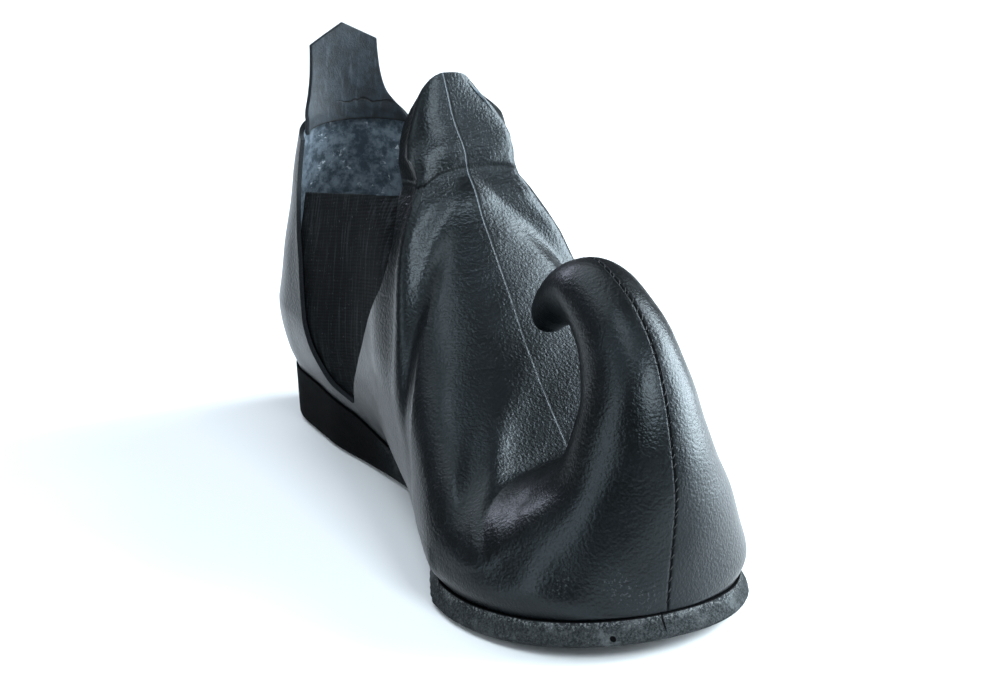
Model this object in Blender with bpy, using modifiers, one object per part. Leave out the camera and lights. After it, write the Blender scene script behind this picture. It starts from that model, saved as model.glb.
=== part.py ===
"""A leather elf shoe for the left foot, with a hollow toe that curls up and back over itself.

Sizes are millimetres in shoe coordinates: s runs forward from the heel, w to the inner side of the
foot and z up. The finished parts are placed in metres with the toe towards -Y and the inner side
towards -X, and the middle of the footprint is the origin.
"""
import math

import bmesh
import bpy

# Driving sizes of the sole, in millimetres
HEEL_CENTRE = 34.5
HEEL_RADIUS = 30.0
BALL_AT = 212.0
BALL_HALF = 51.3
TOE_END = 277.5
TOE_POWER = 2.2
HEEL_HEIGHT = 22.0
FOREFOOT_THICK = 8.6
TOE_SPRING = 6.0
ARCH_RISE = 0.9

# Driving sizes of the upper, in millimetres
WALL = 2.0
GORE_THICK = 1.2
TAB_THICK = 1.8
INSOLE_THICK = 2.0
INSOLE_CLEAR = 1.0
SEAT_GAP = 0.3
FEATHER = 0.8
COUNTER_TOP = 119.0
TAB_PEAK = 153.5
TAB_SHOULDER = 146.0
TAB_HALF = 14.2
TAB_LAP = 114.5

# Mesh steps
RIB_STEPS = 3
LOW_STEPS = 5
HIGH_STEPS = 9
MERGE = 0.02
MM = 0.001


class Track:
    """A smooth curve through (place, value) pairs that never overshoots between them."""

    def __init__(self, places, values):
        self.places = list(places)
        self.values = list(values)
        count = len(self.places)
        self.gaps = [self.places[i + 1] - self.places[i] for i in range(count - 1)]
        self.rises = [(self.values[i + 1] - self.values[i]) / self.gaps[i] for i in range(count - 1)]
        inner = [self.shared_slope(i) for i in range(1, count - 1)]
        self.slopes = [self.rises[0]] + inner + [self.rises[-1]]

    def shared_slope(self, i):
        before = self.rises[i - 1]
        after = self.rises[i]
        if before * after <= 0:
            return 0.0
        early = 2 * self.gaps[i] + self.gaps[i - 1]
        late = self.gaps[i] + 2 * self.gaps[i - 1]
        return (early + late) / (early / before + late / after)

    def __call__(self, place):
        place = min(max(place, self.places[0]), self.places[-1])
        i = 0
        while i < len(self.gaps) - 1 and place > self.places[i + 1]:
            i += 1
        gap = self.gaps[i]
        t = (place - self.places[i]) / gap
        stay = (1 + 2 * t) * (1 - t) ** 2
        go = t * t * (3 - 2 * t)
        leave = t * (1 - t) ** 2 * gap
        arrive = t * t * (t - 1) * gap
        return (stay * self.values[i] + go * self.values[i + 1]
                + leave * self.slopes[i] + arrive * self.slopes[i + 1])


def track(rows, column=1):
    """A Track from a table whose first column is the place."""
    return Track([row[0] for row in rows], [row[column] for row in rows])


# Sole along its length: s, half width of the top edge, sideways drift of its middle
SOLE_PLAN = (
    (HEEL_CENTRE, HEEL_RADIUS, 0.0),
    (60.0, 30.2, 0.0),
    (88.0, 29.0, -2.0),
    (124.0, 29.0, -4.6),
    (158.0, 36.6, -4.0),
    (189.0, 45.6, -0.2),
    (BALL_AT, BALL_HALF, 3.6),
    (236.0, 0.0, 4.6),
    (TOE_END, 0.0, 4.2),
)
# Sole in side view: s, height of the top, height of the bottom
SOLE_SIDE = (
    (0.0, HEEL_HEIGHT, 0.0),
    (45.0, HEEL_HEIGHT - 0.3, 0.0),
    (76.0, HEEL_HEIGHT - 2.6, 0.0),
    (112.0, 13.4, ARCH_RISE),
    (150.0, FOREFOOT_THICK + 1.0, 0.0),
    (186.0, FOREFOOT_THICK, 0.0),
    (216.0, FOREFOOT_THICK, 0.0),
    (250.0, FOREFOOT_THICK + 2.0, 2.0),
    (281.0, FOREFOOT_THICK + TOE_SPRING, TOE_SPRING),
)
# Sole's edge: s, how far the side leans out towards the floor, radius of the lower edge
SOLE_EDGE = (
    (0.0, -1.0, 3.2),
    (90.0, -1.0, 3.2),
    (150.0, 0.0, 2.8),
    (200.0, 2.5, 2.8),
    (281.0, 3.0, 2.2),
)

half_width = track(SOLE_PLAN[:-2])
drift = track(SOLE_PLAN, 2)
sole_top = track(SOLE_SIDE)
sole_bottom = track(SOLE_SIDE, 2)
edge_lean = track(SOLE_EDGE)
edge_round = track(SOLE_EDGE, 2)

DRIFT_FULL = 12.0
DRIFT_NONE = 55.0


def drift_at(s, z):
    """The foot's sideways curve, full at the sole and gone at the top of the vamp."""
    fade = min(max((DRIFT_NONE - z) / (DRIFT_NONE - DRIFT_FULL), 0.0), 1.0)
    return drift(s) * fade * fade * (3 - 2 * fade)


def foot_half(s, inset):
    """Half width of the sole's top edge at s, drawn in by inset."""
    if s <= BALL_AT:
        return half_width(s) - inset
    reach = min((s - BALL_AT) / (TOE_END - inset - BALL_AT), 1.0)
    return (BALL_HALF - inset) * (1 - reach ** TOE_POWER) ** (1 / TOE_POWER)


def outline_points(grow):
    """Half outline from heel to toe as (s, w) pairs; grow(s) moves the edge out."""
    heel_steps, side_steps, toe_steps = 8, 15, 10
    points = []
    for i in range(heel_steps):
        angle = math.radians(90 * i / heel_steps)
        radius = HEEL_RADIUS + grow(HEEL_CENTRE - HEEL_RADIUS * math.cos(angle))
        points.append((HEEL_CENTRE - radius * math.cos(angle), radius * math.sin(angle)))
    for i in range(side_steps):
        s = HEEL_CENTRE + (BALL_AT - HEEL_CENTRE) * i / side_steps
        points.append((s, half_width(s) + grow(s)))
    for i in range(toe_steps + 1):
        angle = math.radians(90 * i / toe_steps)
        out = grow(BALL_AT + (TOE_END - BALL_AT) * math.sin(angle))
        length = TOE_END - BALL_AT + out
        s = BALL_AT + length * math.sin(angle) ** (2 / TOE_POWER)
        across = max(math.cos(angle), 0.0) ** (2 / TOE_POWER)
        points.append((s, (BALL_HALF + out) * across))
    return points


# Upper, heel to toe. turn: direction from the rib's axis to the side (180 is straight back).
# foot_s: where the rib leaves the sole. top: where it ends, r being its distance from the middle.
# wide_r, level: the widest place and its share of the height. power: how full the rib is above that,
# where 2 is an ellipse. bulge: how far it swells over the sole's edge below that.
RIB_COLUMNS = ("turn", "foot_s", "top_s", "top_z", "top_r", "wide_r", "level", "power", "bulge")
SOLE_RIBS = (
    (180.0, HEEL_CENTRE, 33.5, COUNTER_TOP, 26.5, 34.5, 0.30, 1.2, 0.0),
    (135.0, HEEL_CENTRE, 33.5, 117.0, 26.6, 35.6, 0.30, 1.08, 0.0),
    (90.0, HEEL_CENTRE + 1.0, 34.0, 113.0, 26.4, 36.4, 0.30, 1.0, 0.0),
    (90.0, 58.0, 57.0, 113.0, 26.6, 36.0, 0.30, 1.15, 0.0),
    (90.0, 84.0, 75.0, 117.0, 25.4, 33.5, 0.27, 1.6, 0.0),
    (90.0, 114.0, 88.0, 124.0, 23.0, 36.0, 0.20, 1.65, 0.0),
    (90.0, 146.0, 97.0, 145.0, 14.5, 42.5, 0.14, 1.5, 0.0),
    (90.0, 172.0, 102.5, 160.5, 0.0, 47.5, 0.12, 1.36, 0.0),
    (90.0, 188.0, 124.0, 120.5, 0.0, 51.0, 0.13, 1.38, 0.0),
    (90.0, 202.0, 141.0, 101.0, 0.0, 53.6, 0.15, 1.6, 0.0),
    (90.0, 218.0, 164.0, 80.0, 0.0, 54.4, 0.18, 1.8, 0.5),
    (90.0, 235.0, 186.0, 60.5, 0.0, 52.6, 0.23, 2.0, 1.0),
    (90.0, 252.0, 200.0, 48.5, 0.0, 49.4, 0.32, 2.0, 1.5),
    (90.0, 265.0, 208.0, 43.5, 0.0, 46.5, 0.44, 2.0, 3.0),
    (90.0, 272.0, 211.0, 43.5, 0.0, 45.0, 0.52, 2.0, 4.0),
    (90.0, TOE_END - FEATHER, 214.0, 44.5, 0.0, 44.0, 0.56, 2.0, 4.5),
)
# Rings of the curled toe, up the horn and over to its tip: middle s and z, lean of the ring
# (0 has its outer seam in front, 90 on top), half depth and half width, how full the front is.
RING_COLUMNS = ("mid_s", "mid_z", "lean", "half_depth", "half_width", "front")
HORN_RINGS = (
    (248.0, 41.5, -14.0, 28.0, 35.5, 2.4),
    (250.0, 58.0, 0.0, 22.3, 25.6, 2.1),
    (247.5, 74.0, 12.0, 18.8, 20.0, 2.0),
    (239.5, 85.5, 34.0, 17.6, 16.8, 2.0),
    (227.5, 93.5, 60.0, 16.6, 15.2, 2.0),
    (213.0, 98.0, 91.0, 16.0, 14.2, 2.0),
    (200.0, 94.0, 117.0, 14.5, 13.2, 2.0),
    (190.5, 86.0, 138.0, 12.6, 11.8, 2.0),
    (185.0, 79.5, 152.0, 10.0, 9.6, 2.0),
    (182.5, 75.5, 160.0, 6.2, 6.0, 2.0),
    (181.5, 73.5, 165.0, 0.0, 0.0, 2.0),
)
TOE_RIB = len(SOLE_RIBS) - 1
LAST_RIB = TOE_RIB + len(HORN_RINGS)


def rib_rows():
    """Every rib with the same named columns, heel to tip."""
    rows = []
    for values in SOLE_RIBS:
        row = dict(zip(RIB_COLUMNS, values))
        row["foot_z"] = sole_top(row["foot_s"]) + SEAT_GAP
        row["front"] = HORN_RINGS[0][-1]
        rows.append(row)
    for values in HORN_RINGS:
        ring = dict(zip(RING_COLUMNS, values))
        lean = math.radians(ring["lean"])
        step_s = ring["half_depth"] * math.cos(lean)
        step_z = ring["half_depth"] * math.sin(lean)
        row = {"turn": 90.0, "top_r": 0.0, "level": 0.5, "power": 2.0, "wide_r": ring["half_width"]}
        row["bulge"] = 0.0
        row["front"] = ring["front"]
        row["foot_s"] = ring["mid_s"] + step_s
        row["foot_z"] = ring["mid_z"] + step_z
        row["top_s"] = ring["mid_s"] - step_s
        row["top_z"] = ring["mid_z"] - step_z
        rows.append(row)
    return rows


def rib_tracks():
    rows = rib_rows()
    places = range(len(rows))
    return {name: Track(places, [row[name] for row in rows]) for name in rows[0]}


RIB_TRACKS = rib_tracks()

# The fold at the foot of the throat tab: how deep it draws the sides in, where, and on which ribs;
# and the tab above it, narrowed by a share that grows towards its tip, or widened on the outer side
CREASE_DEPTH = 4.0
CREASE_Z = 117.0
CREASE_SPREAD = 10.0
CREASE_FROM = 12.0
PINCH_INNER = 0.17
PINCH_OUTER = -0.08
PINCH_FROM = 126.0
PINCH_FULL = 154.0
throat = Track((0.0, 4.5, 6.0, 8.0, 9.5, LAST_RIB), (0.0, 0.0, 1.0, 1.0, 0.0, 0.0))


def rib_at(u):
    """The rib at place u, with its foot on the sole's edge as far as the toe."""
    rib = {name: line(u) for name, line in RIB_TRACKS.items()}
    rib["seated"] = min(max(TOE_RIB + 1 - u, 0.0), 1.0)
    rib["edge_s"] = TOE_END - FEATHER
    rib["curl"] = 1.0
    if u < TOE_RIB:
        rib["edge_s"] = rib["foot_s"]
        rib["foot_z"] = sole_top(rib["foot_s"]) + SEAT_GAP
        rib["curl"] = (1 - foot_half(rib["foot_s"], FEATHER) / rib["wide_r"]) ** 2
    rib["throat"] = throat(u)
    return rib


def low_reach(rib, share, rise):
    """Half width of a rib below its widest place: along the sole's edge, or round the horn."""
    run = (rib["top_s"] - rib["foot_s"]) * rib["level"]
    edge = foot_half(rib["edge_s"] + run * rise, FEATHER)
    widening = rib["wide_r"] - foot_half(rib["edge_s"] + run, FEATHER)
    on_sole = edge + widening * math.sin(math.radians(90 * rise)) + rib["bulge"] * math.sin(math.pi * rise)
    on_horn = rib["wide_r"] * math.sin(math.radians(90 * share)) ** (2 / rib["front"])
    return on_horn + (on_sole - on_horn) * rib["seated"]


def skin(rib, share, low, side):
    """A point of the upper's outer skin: share runs over the low or the high quarter of a rib."""
    angle = math.radians(90 * share)
    if low:
        rise = share + (1 - math.cos(angle) - share) * rib["curl"]
        q = rib["level"] * rise
        r = low_reach(rib, share, rise)
    else:
        bend = 2 / rib["power"]
        q = rib["level"] + (1 - rib["level"]) * math.sin(angle) ** bend
        r = rib["top_r"] + (rib["wide_r"] - rib["top_r"]) * max(math.cos(angle), 0.0) ** bend
    turn = math.radians(rib["turn"])
    z = rib["foot_z"] + (rib["top_z"] - rib["foot_z"]) * q
    fold = math.exp(-((z - CREASE_Z) / CREASE_SPREAD) ** 2)
    r -= CREASE_DEPTH * rib["throat"] * fold * min(r / CREASE_FROM, 1.0)
    climb = min(max((z - PINCH_FROM) / (PINCH_FULL - PINCH_FROM), 0.0), 1.0)
    pinch = PINCH_INNER if side > 0 else PINCH_OUTER
    r *= 1 - pinch * rib["throat"] * climb * climb * (3 - 2 * climb)
    s = rib["foot_s"] + (rib["top_s"] - rib["foot_s"]) * q + r * math.cos(turn)
    return s, side * r * math.sin(turn) + drift_at(s, z), z


def rib_points(u, side, high_steps):
    """Points up a rib from the sole, as far as high_steps steps above its widest place."""
    rib = rib_at(u)
    low = [skin(rib, i / LOW_STEPS, True, side) for i in range(LOW_STEPS)]
    high = [skin(rib, i / HIGH_STEPS, False, side) for i in range(high_steps + 1)]
    return low + high


def placed(point):
    """Shoe coordinates in millimetres to metres, toe towards -Y and inner side towards -X."""
    s, w, z = point
    return -w * MM, -s * MM, z * MM


def add_grid(mesh, rows, flip):
    """Quads between rows of points; flip turns them over."""
    lines = [[mesh.verts.new(placed(p)) for p in row] for row in rows]
    for near, far in zip(lines, lines[1:]):
        for i in range(len(near) - 1):
            corners = [near[i], far[i], far[i + 1], near[i + 1]]
            mesh.faces.new(corners[::-1] if flip else corners)


def finish_mesh(mesh, name):
    bmesh.ops.remove_doubles(mesh, verts=mesh.verts, dist=MERGE * MM)
    bmesh.ops.dissolve_degenerate(mesh, edges=mesh.edges, dist=MERGE * MM)
    data = bpy.data.meshes.new(name)
    mesh.to_mesh(data)
    mesh.free()
    return data


def add_object(name, data, collection):
    piece = bpy.data.objects.new(name, data)
    collection.objects.link(piece)
    return piece


def finish(piece, colour, roughness, parent):
    """Smooth shading, the part's own plain material, and its place in the assembly."""
    piece.data.shade_smooth()
    material = bpy.data.materials.new(piece.name)
    material.use_nodes = True
    surface = material.node_tree.nodes["Principled BSDF"]
    surface.inputs["Base Color"].default_value = (*colour, 1.0)
    surface.inputs["Roughness"].default_value = roughness
    surface.inputs["Metallic"].default_value = 0.0
    piece.data.materials.append(material)
    piece.parent = parent
    return piece


def add_boolean(piece, operation, cutter):
    cut = piece.modifiers.new(operation.title(), "BOOLEAN")
    cut.operation = operation
    cut.object = cutter


def add_wall(piece, thickness):
    wall = piece.modifiers.new("Wall", "SOLIDIFY")
    wall.thickness = thickness * MM
    wall.offset = -1.0
    wall.use_even_offset = True


def slab(name, rings, collection):
    """A closed slab: rings of half outlines from the underside up, capped by strips across."""
    mesh = bmesh.new()
    loops = []
    for ring in rings:
        inner = [mesh.verts.new(placed((s, w + drift_at(s, z), z))) for s, w, z in ring]
        outer = [mesh.verts.new(placed((s, drift_at(s, z) - w, z))) for s, w, z in ring]
        loops.append((inner, outer))
    count = len(rings[0])
    for below, above in zip(loops, loops[1:]):
        for i in range(count - 1):
            mesh.faces.new([below[0][i], below[0][i + 1], above[0][i + 1], above[0][i]])
            mesh.faces.new([below[1][i + 1], below[1][i], above[1][i], above[1][i + 1]])
    for loop, flip in ((loops[0], False), (loops[-1], True)):
        for i in range(count - 1):
            corners = [loop[0][i], loop[1][i], loop[1][i + 1], loop[0][i + 1]]
            mesh.faces.new(corners[::-1] if flip else corners)
    data = finish_mesh(mesh, name)
    return add_object(name, data, collection)


def make_outsole(collection):
    """Crepe sole with its wedge heel: rounded lower edge, leaning side, flat top for the upper."""
    round_steps = 4
    rings = []
    for i in range(round_steps + 1):
        angle = math.radians(90 * i / round_steps)
        ring = outline_points(lambda s: edge_lean(s) - edge_round(s) * (1 - math.sin(angle)))
        lift = 1 - math.cos(angle)
        rings.append([(s, w, sole_bottom(s) + edge_round(s) * lift) for s, w in ring])
    rings.append([(s, w, sole_top(s)) for s, w in outline_points(lambda s: 0.0)])
    return slab("outsole", rings, collection)


def make_insole(collection):
    """Thin board on the sole, inside the upper's lower edge."""
    board = outline_points(lambda s: -FEATHER - WALL - INSOLE_CLEAR)
    under = [(s, w, sole_top(s) + SEAT_GAP) for s, w in board]
    over = [(s, w, sole_top(s) + SEAT_GAP + INSOLE_THICK) for s, w in board]
    return slab("insole", [under, over], collection)


def skin_mesh(name, first, last, sides, high_steps=HIGH_STEPS):
    """The outer skin between two ribs, on one or both sides of the shoe."""
    mesh = bmesh.new()
    steps = (last - first) * RIB_STEPS
    for side in sides:
        rows = [rib_points(first + i / RIB_STEPS, side, high_steps) for i in range(steps + 1)]
        add_grid(mesh, rows, side < 0)
    return finish_mesh(mesh, name)


# Leather edges in side view, as s and z, down to the gore's point: the counter's front edge,
# and the vamp's rear edge from the tip of the throat tab
COUNTER_EDGE = ((27.0, 130.0), (32.0, 112.0), (36.0, 93.0), (40.5, 69.0), (46.0, 52.0), (52.0, 39.0),
                (62.0, 28.5), (82.0, 23.6))
VAMP_EDGE = ((106.7, 152.7), (107.6, 148.3), (109.5, 142.0), (111.8, 135.0), (114.2, 127.0), (118.0, 116.0),
             (121.5, 105.0), (121.5, 93.0), (116.5, 79.0), (104.0, 59.0), (91.0, 37.0), (82.0, 23.6))
WINDOW_TOP = 170.0
GORE_TOP_REAR = 93.5
GORE_TOP_FRONT = 116.5
GORE_MARGIN = 6.0
GORE_POINT_LIFT = 1.5
GORE_FIRST_RIB, GORE_LAST_RIB, GORE_HIGH_STEPS = 2, 7, 7
EDGE_STEPS = 14
EDGE_CLEAR = 2.0


def prism(name, outline, near, far, collection):
    """A wire cutter: a side-view outline carried across the shoe from w near to w far."""
    mesh = bmesh.new()
    front = [mesh.verts.new(placed((s, near, z))) for s, z in outline]
    back = [mesh.verts.new(placed((s, far, z))) for s, z in outline]
    mesh.faces.new(front)
    mesh.faces.new(back[::-1])
    count = len(outline)
    for i in range(count):
        j = (i + 1) % count
        mesh.faces.new([front[j], front[i], back[i], back[j]])
    bmesh.ops.recalc_face_normals(mesh, faces=mesh.faces)
    piece = add_object(name, finish_mesh(mesh, name), collection)
    piece.display_type = "WIRE"
    piece.hide_render = True
    return piece


def curve_points(corners, steps):
    """Points on a smooth curve through side-view corners, evenly along their count."""
    places = range(len(corners))
    along = Track(places, [c[0] for c in corners])
    up = Track(places, [c[1] for c in corners])
    last = len(corners) - 1
    return [(along(last * i / steps), up(last * i / steps)) for i in range(steps + 1)]


def collar_outline():
    """What is cut away across the shoe: the collar, and the gores' openings down to their points."""
    counter = curve_points(COUNTER_EDGE, EDGE_STEPS)
    vamp = curve_points(VAMP_EDGE, 2 * EDGE_STEPS)
    over = [(VAMP_EDGE[0][0], WINDOW_TOP), (COUNTER_EDGE[0][0], WINDOW_TOP)]
    return counter + vamp[::-1][1:] + over


def gore_outline():
    """The elastic itself: the opening widened under the leather, with its own top edge."""
    counter = [(s - GORE_MARGIN, z) for s, z in curve_points(COUNTER_EDGE, EDGE_STEPS)]
    vamp = [(s + GORE_MARGIN, z) for s, z in curve_points(VAMP_EDGE, 2 * EDGE_STEPS)]
    rear = [(s, z + GORE_POINT_LIFT) for s, z in counter if z < GORE_TOP_REAR - EDGE_CLEAR]
    front = [(s, z + GORE_POINT_LIFT) for s, z in vamp if z < GORE_TOP_FRONT - EDGE_CLEAR]
    return [(rear[0][0], GORE_TOP_REAR)] + rear + front[::-1] + [(front[0][0], GORE_TOP_FRONT)]


CUT_NEAR = 12.0
CUT_FAR = 70.0


def make_upper(collection, cutters):
    """The leather wall, from the heel to the tip of the curl, open below, at the collar and at the gores."""
    piece = add_object("upper", skin_mesh("upper", 0, LAST_RIB, (1, -1)), collection)
    add_wall(piece, WALL)
    add_boolean(piece, "DIFFERENCE", prism("collar", collar_outline(), -CUT_FAR, CUT_FAR, cutters))
    return piece


def make_gore(name, side, collection, cutters):
    """Elastic sheet just inside the leather, filling the opening between counter and vamp."""
    data = skin_mesh(name, GORE_FIRST_RIB, GORE_LAST_RIB, (side,), GORE_HIGH_STEPS)
    piece = add_object(name, data, collection)
    inwards = piece.modifiers.new("Behind the leather", "DISPLACE")
    inwards.mid_level = 0.0
    inwards.strength = -(WALL + 2 * SEAT_GAP) * MM
    add_wall(piece, GORE_THICK)
    outline = prism(name + "_outline", gore_outline(), side * CUT_NEAR, side * CUT_FAR, cutters)
    add_boolean(piece, "INTERSECT", outline)
    return piece


# Pull tab at the back: z, half width; and how it flattens above the counter
TAB_SIDES = track(((TAB_LAP, 22.5), (117.0, 22.0), (121.0, 19.5), (126.0, 16.8), (136.0, 14.7),
                   (TAB_SHOULDER, TAB_HALF), (TAB_PEAK, TAB_HALF)))
TAB_FLATTEN = 1.5


def tab_point(across, up):
    """A point of the pull tab's back face: across from -1 to 1, up from 0 to 1."""
    peak = TAB_SHOULDER + (TAB_PEAK - TAB_SHOULDER) * (1 - abs(across))
    z = TAB_LAP + (peak - TAB_LAP) * up
    w = across * TAB_SIDES(z)
    first = RIB_TRACKS["top_r"](0) - WALL - 2 * SEAT_GAP
    radius = first + TAB_FLATTEN * max(z - COUNTER_TOP, 0.0)
    back = RIB_TRACKS["top_s"](0) - first
    return back + radius - math.sqrt(radius * radius - w * w), w, z


def make_pull_tab(collection):
    """Tall leather tab, sewn inside the counter, with a house-shaped top."""
    across_steps, up_steps = 12, 14
    mesh = bmesh.new()
    rows = []
    for i in range(across_steps + 1):
        across = 2 * i / across_steps - 1
        rows.append([tab_point(across, j / up_steps) for j in range(up_steps + 1)])
    add_grid(mesh, rows, False)
    piece = add_object("pull_tab", finish_mesh(mesh, "pull_tab"), collection)
    add_wall(piece, TAB_THICK)
    return piece


def new_collection(name):
    collection = bpy.data.collections.new(name)
    bpy.context.scene.collection.children.link(collection)
    return collection


def centre_on_origin(base, pieces):
    """Move the assembly so that the middle of its footprint is the origin."""
    bpy.context.view_layer.update()
    graph = bpy.context.evaluated_depsgraph_get()
    corners = []
    for piece in pieces:
        shape = piece.evaluated_get(graph)
        corners += [shape.matrix_world @ v.co for v in shape.data.vertices]
    for axis in (0, 1):
        values = [corner[axis] for corner in corners]
        base.location[axis] = -(min(values) + max(values)) / 2


LEATHER = (0.016, 0.018, 0.021)
SUEDE = (0.10, 0.11, 0.125)
ELASTIC = (0.022, 0.023, 0.024)
CREPE = (0.03, 0.032, 0.035)


def main():
    for piece in list(bpy.data.objects):
        bpy.data.objects.remove(piece, do_unlink=True)
    parts = new_collection("elf_shoe")
    cutters = new_collection("cutters")
    base = add_object("shoe_base", None, parts)
    outsole = finish(make_outsole(parts), CREPE, 0.85, base)
    insole = finish(make_insole(parts), SUEDE, 0.9, base)
    upper = finish(make_upper(parts, cutters), LEATHER, 0.45, base)
    medial = finish(make_gore("gore_medial", 1, parts, cutters), ELASTIC, 0.8, base)
    lateral = finish(make_gore("gore_lateral", -1, parts, cutters), ELASTIC, 0.8, base)
    tab = finish(make_pull_tab(parts), SUEDE, 0.75, base)
    for cutter in cutters.objects:
        cutter.parent = base
    centre_on_origin(base, [outsole, insole, upper, medial, lateral, tab])


main()
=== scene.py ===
# %% [markdown]
# # A leather elf shoe with a curled toe
#
# This lesson dresses a finished assembly of plain solids: a sole, an insole, a hollow leather upper,
# two elastic gores and a pull tab. Each solid gives way to a finer mesh on the same surface, with the
# folds, seams, threads and finishes of a worn black leather shoe.
# One could sculpt the folds over the solids. Here the surface is written as a formula instead,
# so that every fold and seam has a size in millimetres and a place on the shoe.

import math

import bmesh
import bpy
import numpy as np
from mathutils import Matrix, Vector


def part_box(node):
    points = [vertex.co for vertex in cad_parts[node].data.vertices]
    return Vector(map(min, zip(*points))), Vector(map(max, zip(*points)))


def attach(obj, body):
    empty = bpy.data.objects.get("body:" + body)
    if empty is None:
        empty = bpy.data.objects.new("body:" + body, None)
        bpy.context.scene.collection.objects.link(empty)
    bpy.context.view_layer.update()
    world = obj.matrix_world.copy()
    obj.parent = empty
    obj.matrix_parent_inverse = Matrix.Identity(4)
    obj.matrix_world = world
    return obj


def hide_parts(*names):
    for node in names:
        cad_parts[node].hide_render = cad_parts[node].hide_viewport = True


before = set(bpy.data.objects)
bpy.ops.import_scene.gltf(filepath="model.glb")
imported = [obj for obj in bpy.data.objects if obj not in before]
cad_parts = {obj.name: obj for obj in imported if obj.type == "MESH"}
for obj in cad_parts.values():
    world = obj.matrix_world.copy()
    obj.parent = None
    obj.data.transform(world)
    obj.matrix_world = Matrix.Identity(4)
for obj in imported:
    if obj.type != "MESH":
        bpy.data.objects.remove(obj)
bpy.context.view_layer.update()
MM = 0.001
SIDES = (1, -1)
print("solids:", sorted(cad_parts))

# %% [markdown]
# ## Shoe coordinates
#
# A shoemaker measures along the shoe, across it and up from the floor. Here s runs forward from the
# heel, w goes to the inner side of the foot, and z goes up, all in millimetres. A side is 1 for the
# inner half of the shoe and -1 for the outer half.
# The pull tab is even about the middle of the shoe, and the sole's back end is the heel,
# so these two solids say where s and w start in the world.

# %% Shoe coordinates
HEEL_CENTRE = 34.5
HEEL_RADIUS = 30.0

tab_low, tab_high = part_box("pull_tab")
_, sole_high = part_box("outsole")
MIDDLE_X = (tab_low.x + tab_high.x) / 2
START_Y = sole_high.y + (HEEL_CENTRE - HEEL_RADIUS) * MM


def to_world(points):
    """Points as s, w, z in millimetres, placed in the world in metres."""
    s, w, z = np.moveaxis(np.asarray(points, float), -1, 0)
    return np.stack((MIDDLE_X - w * MM, START_Y - s * MM, z * MM), -1)


print("shoe starts at y", round(START_Y, 4), "middle x", round(MIDDLE_X, 4))

# %% [markdown]
# ## Curves that never overshoot
#
# The shoe is drawn from short tables, such as the sole's width at seven places. A smooth curve runs
# through each column. A plain spline would swing past its points and make bumps, so the slopes here
# are limited where the values turn.

# %% Smooth curves through tables


class Track:
    """A smooth curve through (place, value) pairs that never overshoots between them."""

    def __init__(self, places, values):
        self.places = np.asarray(places, float)
        self.values = np.asarray(values, float)
        self.gaps = np.diff(self.places)
        self.rises = np.diff(self.values) / self.gaps
        inner = [self.shared_slope(i) for i in range(1, len(self.gaps))]
        self.slopes = np.array([self.rises[0]] + inner + [self.rises[-1]])

    def shared_slope(self, i):
        before = self.rises[i - 1]
        after = self.rises[i]
        if before * after <= 0:
            return 0.0
        early = 2 * self.gaps[i] + self.gaps[i - 1]
        late = self.gaps[i] + 2 * self.gaps[i - 1]
        return (early + late) / (early / before + late / after)

    def __call__(self, place):
        place = np.clip(place, self.places[0], self.places[-1])
        i = np.clip(np.searchsorted(self.places, place) - 1, 0, len(self.gaps) - 1)
        gap = self.gaps[i]
        t = (place - self.places[i]) / gap
        stay = (1 + 2 * t) * (1 - t) ** 2
        go = t * t * (3 - 2 * t)
        leave = t * (1 - t) ** 2 * gap
        arrive = t * t * (t - 1) * gap
        return (stay * self.values[i] + go * self.values[i + 1]
                + leave * self.slopes[i] + arrive * self.slopes[i + 1])


def track(rows, column=1):
    """A Track from a table whose first column is the place."""
    return Track([row[0] for row in rows], [row[column] for row in rows])


def ease(low, high, value):
    """0 below low, 1 above high, and a soft step between."""
    t = np.clip((value - low) / (high - low), 0.0, 1.0)
    return t * t * (3 - 2 * t)


sample = Track((0, 1, 2), (0, 1, 1))(np.array((0.5, 1.5)))
print("a track through 0, 1, 1 passes", [round(float(v), 2) for v in sample])

# %% [markdown]
# ## The sole's outline
#
# A left sole bows to the inner side at the ball of the foot and rises at the toe. The wedge heel is
# one with it. The upper's lower edge follows this outline, so the sole comes first.

# %% Sole tables
BALL_AT = 212.0
BALL_HALF = 51.3
TOE_END = 277.5
TOE_POWER = 2.2
HEEL_HEIGHT = 22.0
FOREFOOT_THICK = 8.6
TOE_SPRING = 6.0
ARCH_RISE = 0.9
SEAT_GAP = 0.3
FEATHER = 0.8

# s, half width of the top edge as far as the ball, sideways drift of its middle
SOLE_PLAN = (
    (HEEL_CENTRE, HEEL_RADIUS, 0.0),
    (60.0, 30.2, 0.0),
    (88.0, 29.0, -2.0),
    (124.0, 29.0, -4.6),
    (158.0, 36.6, -4.0),
    (189.0, 45.6, -0.2),
    (BALL_AT, BALL_HALF, 3.6),
    (236.0, 0.0, 4.6),
    (TOE_END, 0.0, 4.2),
)
# s, height of the top, height of the bottom
SOLE_SIDE = (
    (0.0, HEEL_HEIGHT, 0.0),
    (45.0, HEEL_HEIGHT - 0.3, 0.0),
    (76.0, HEEL_HEIGHT - 2.6, 0.0),
    (112.0, 13.4, ARCH_RISE),
    (150.0, FOREFOOT_THICK + 1.0, 0.0),
    (186.0, FOREFOOT_THICK, 0.0),
    (216.0, FOREFOOT_THICK, 0.0),
    (250.0, FOREFOOT_THICK + 2.0, 2.0),
    (281.0, FOREFOOT_THICK + TOE_SPRING, TOE_SPRING),
)
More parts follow.
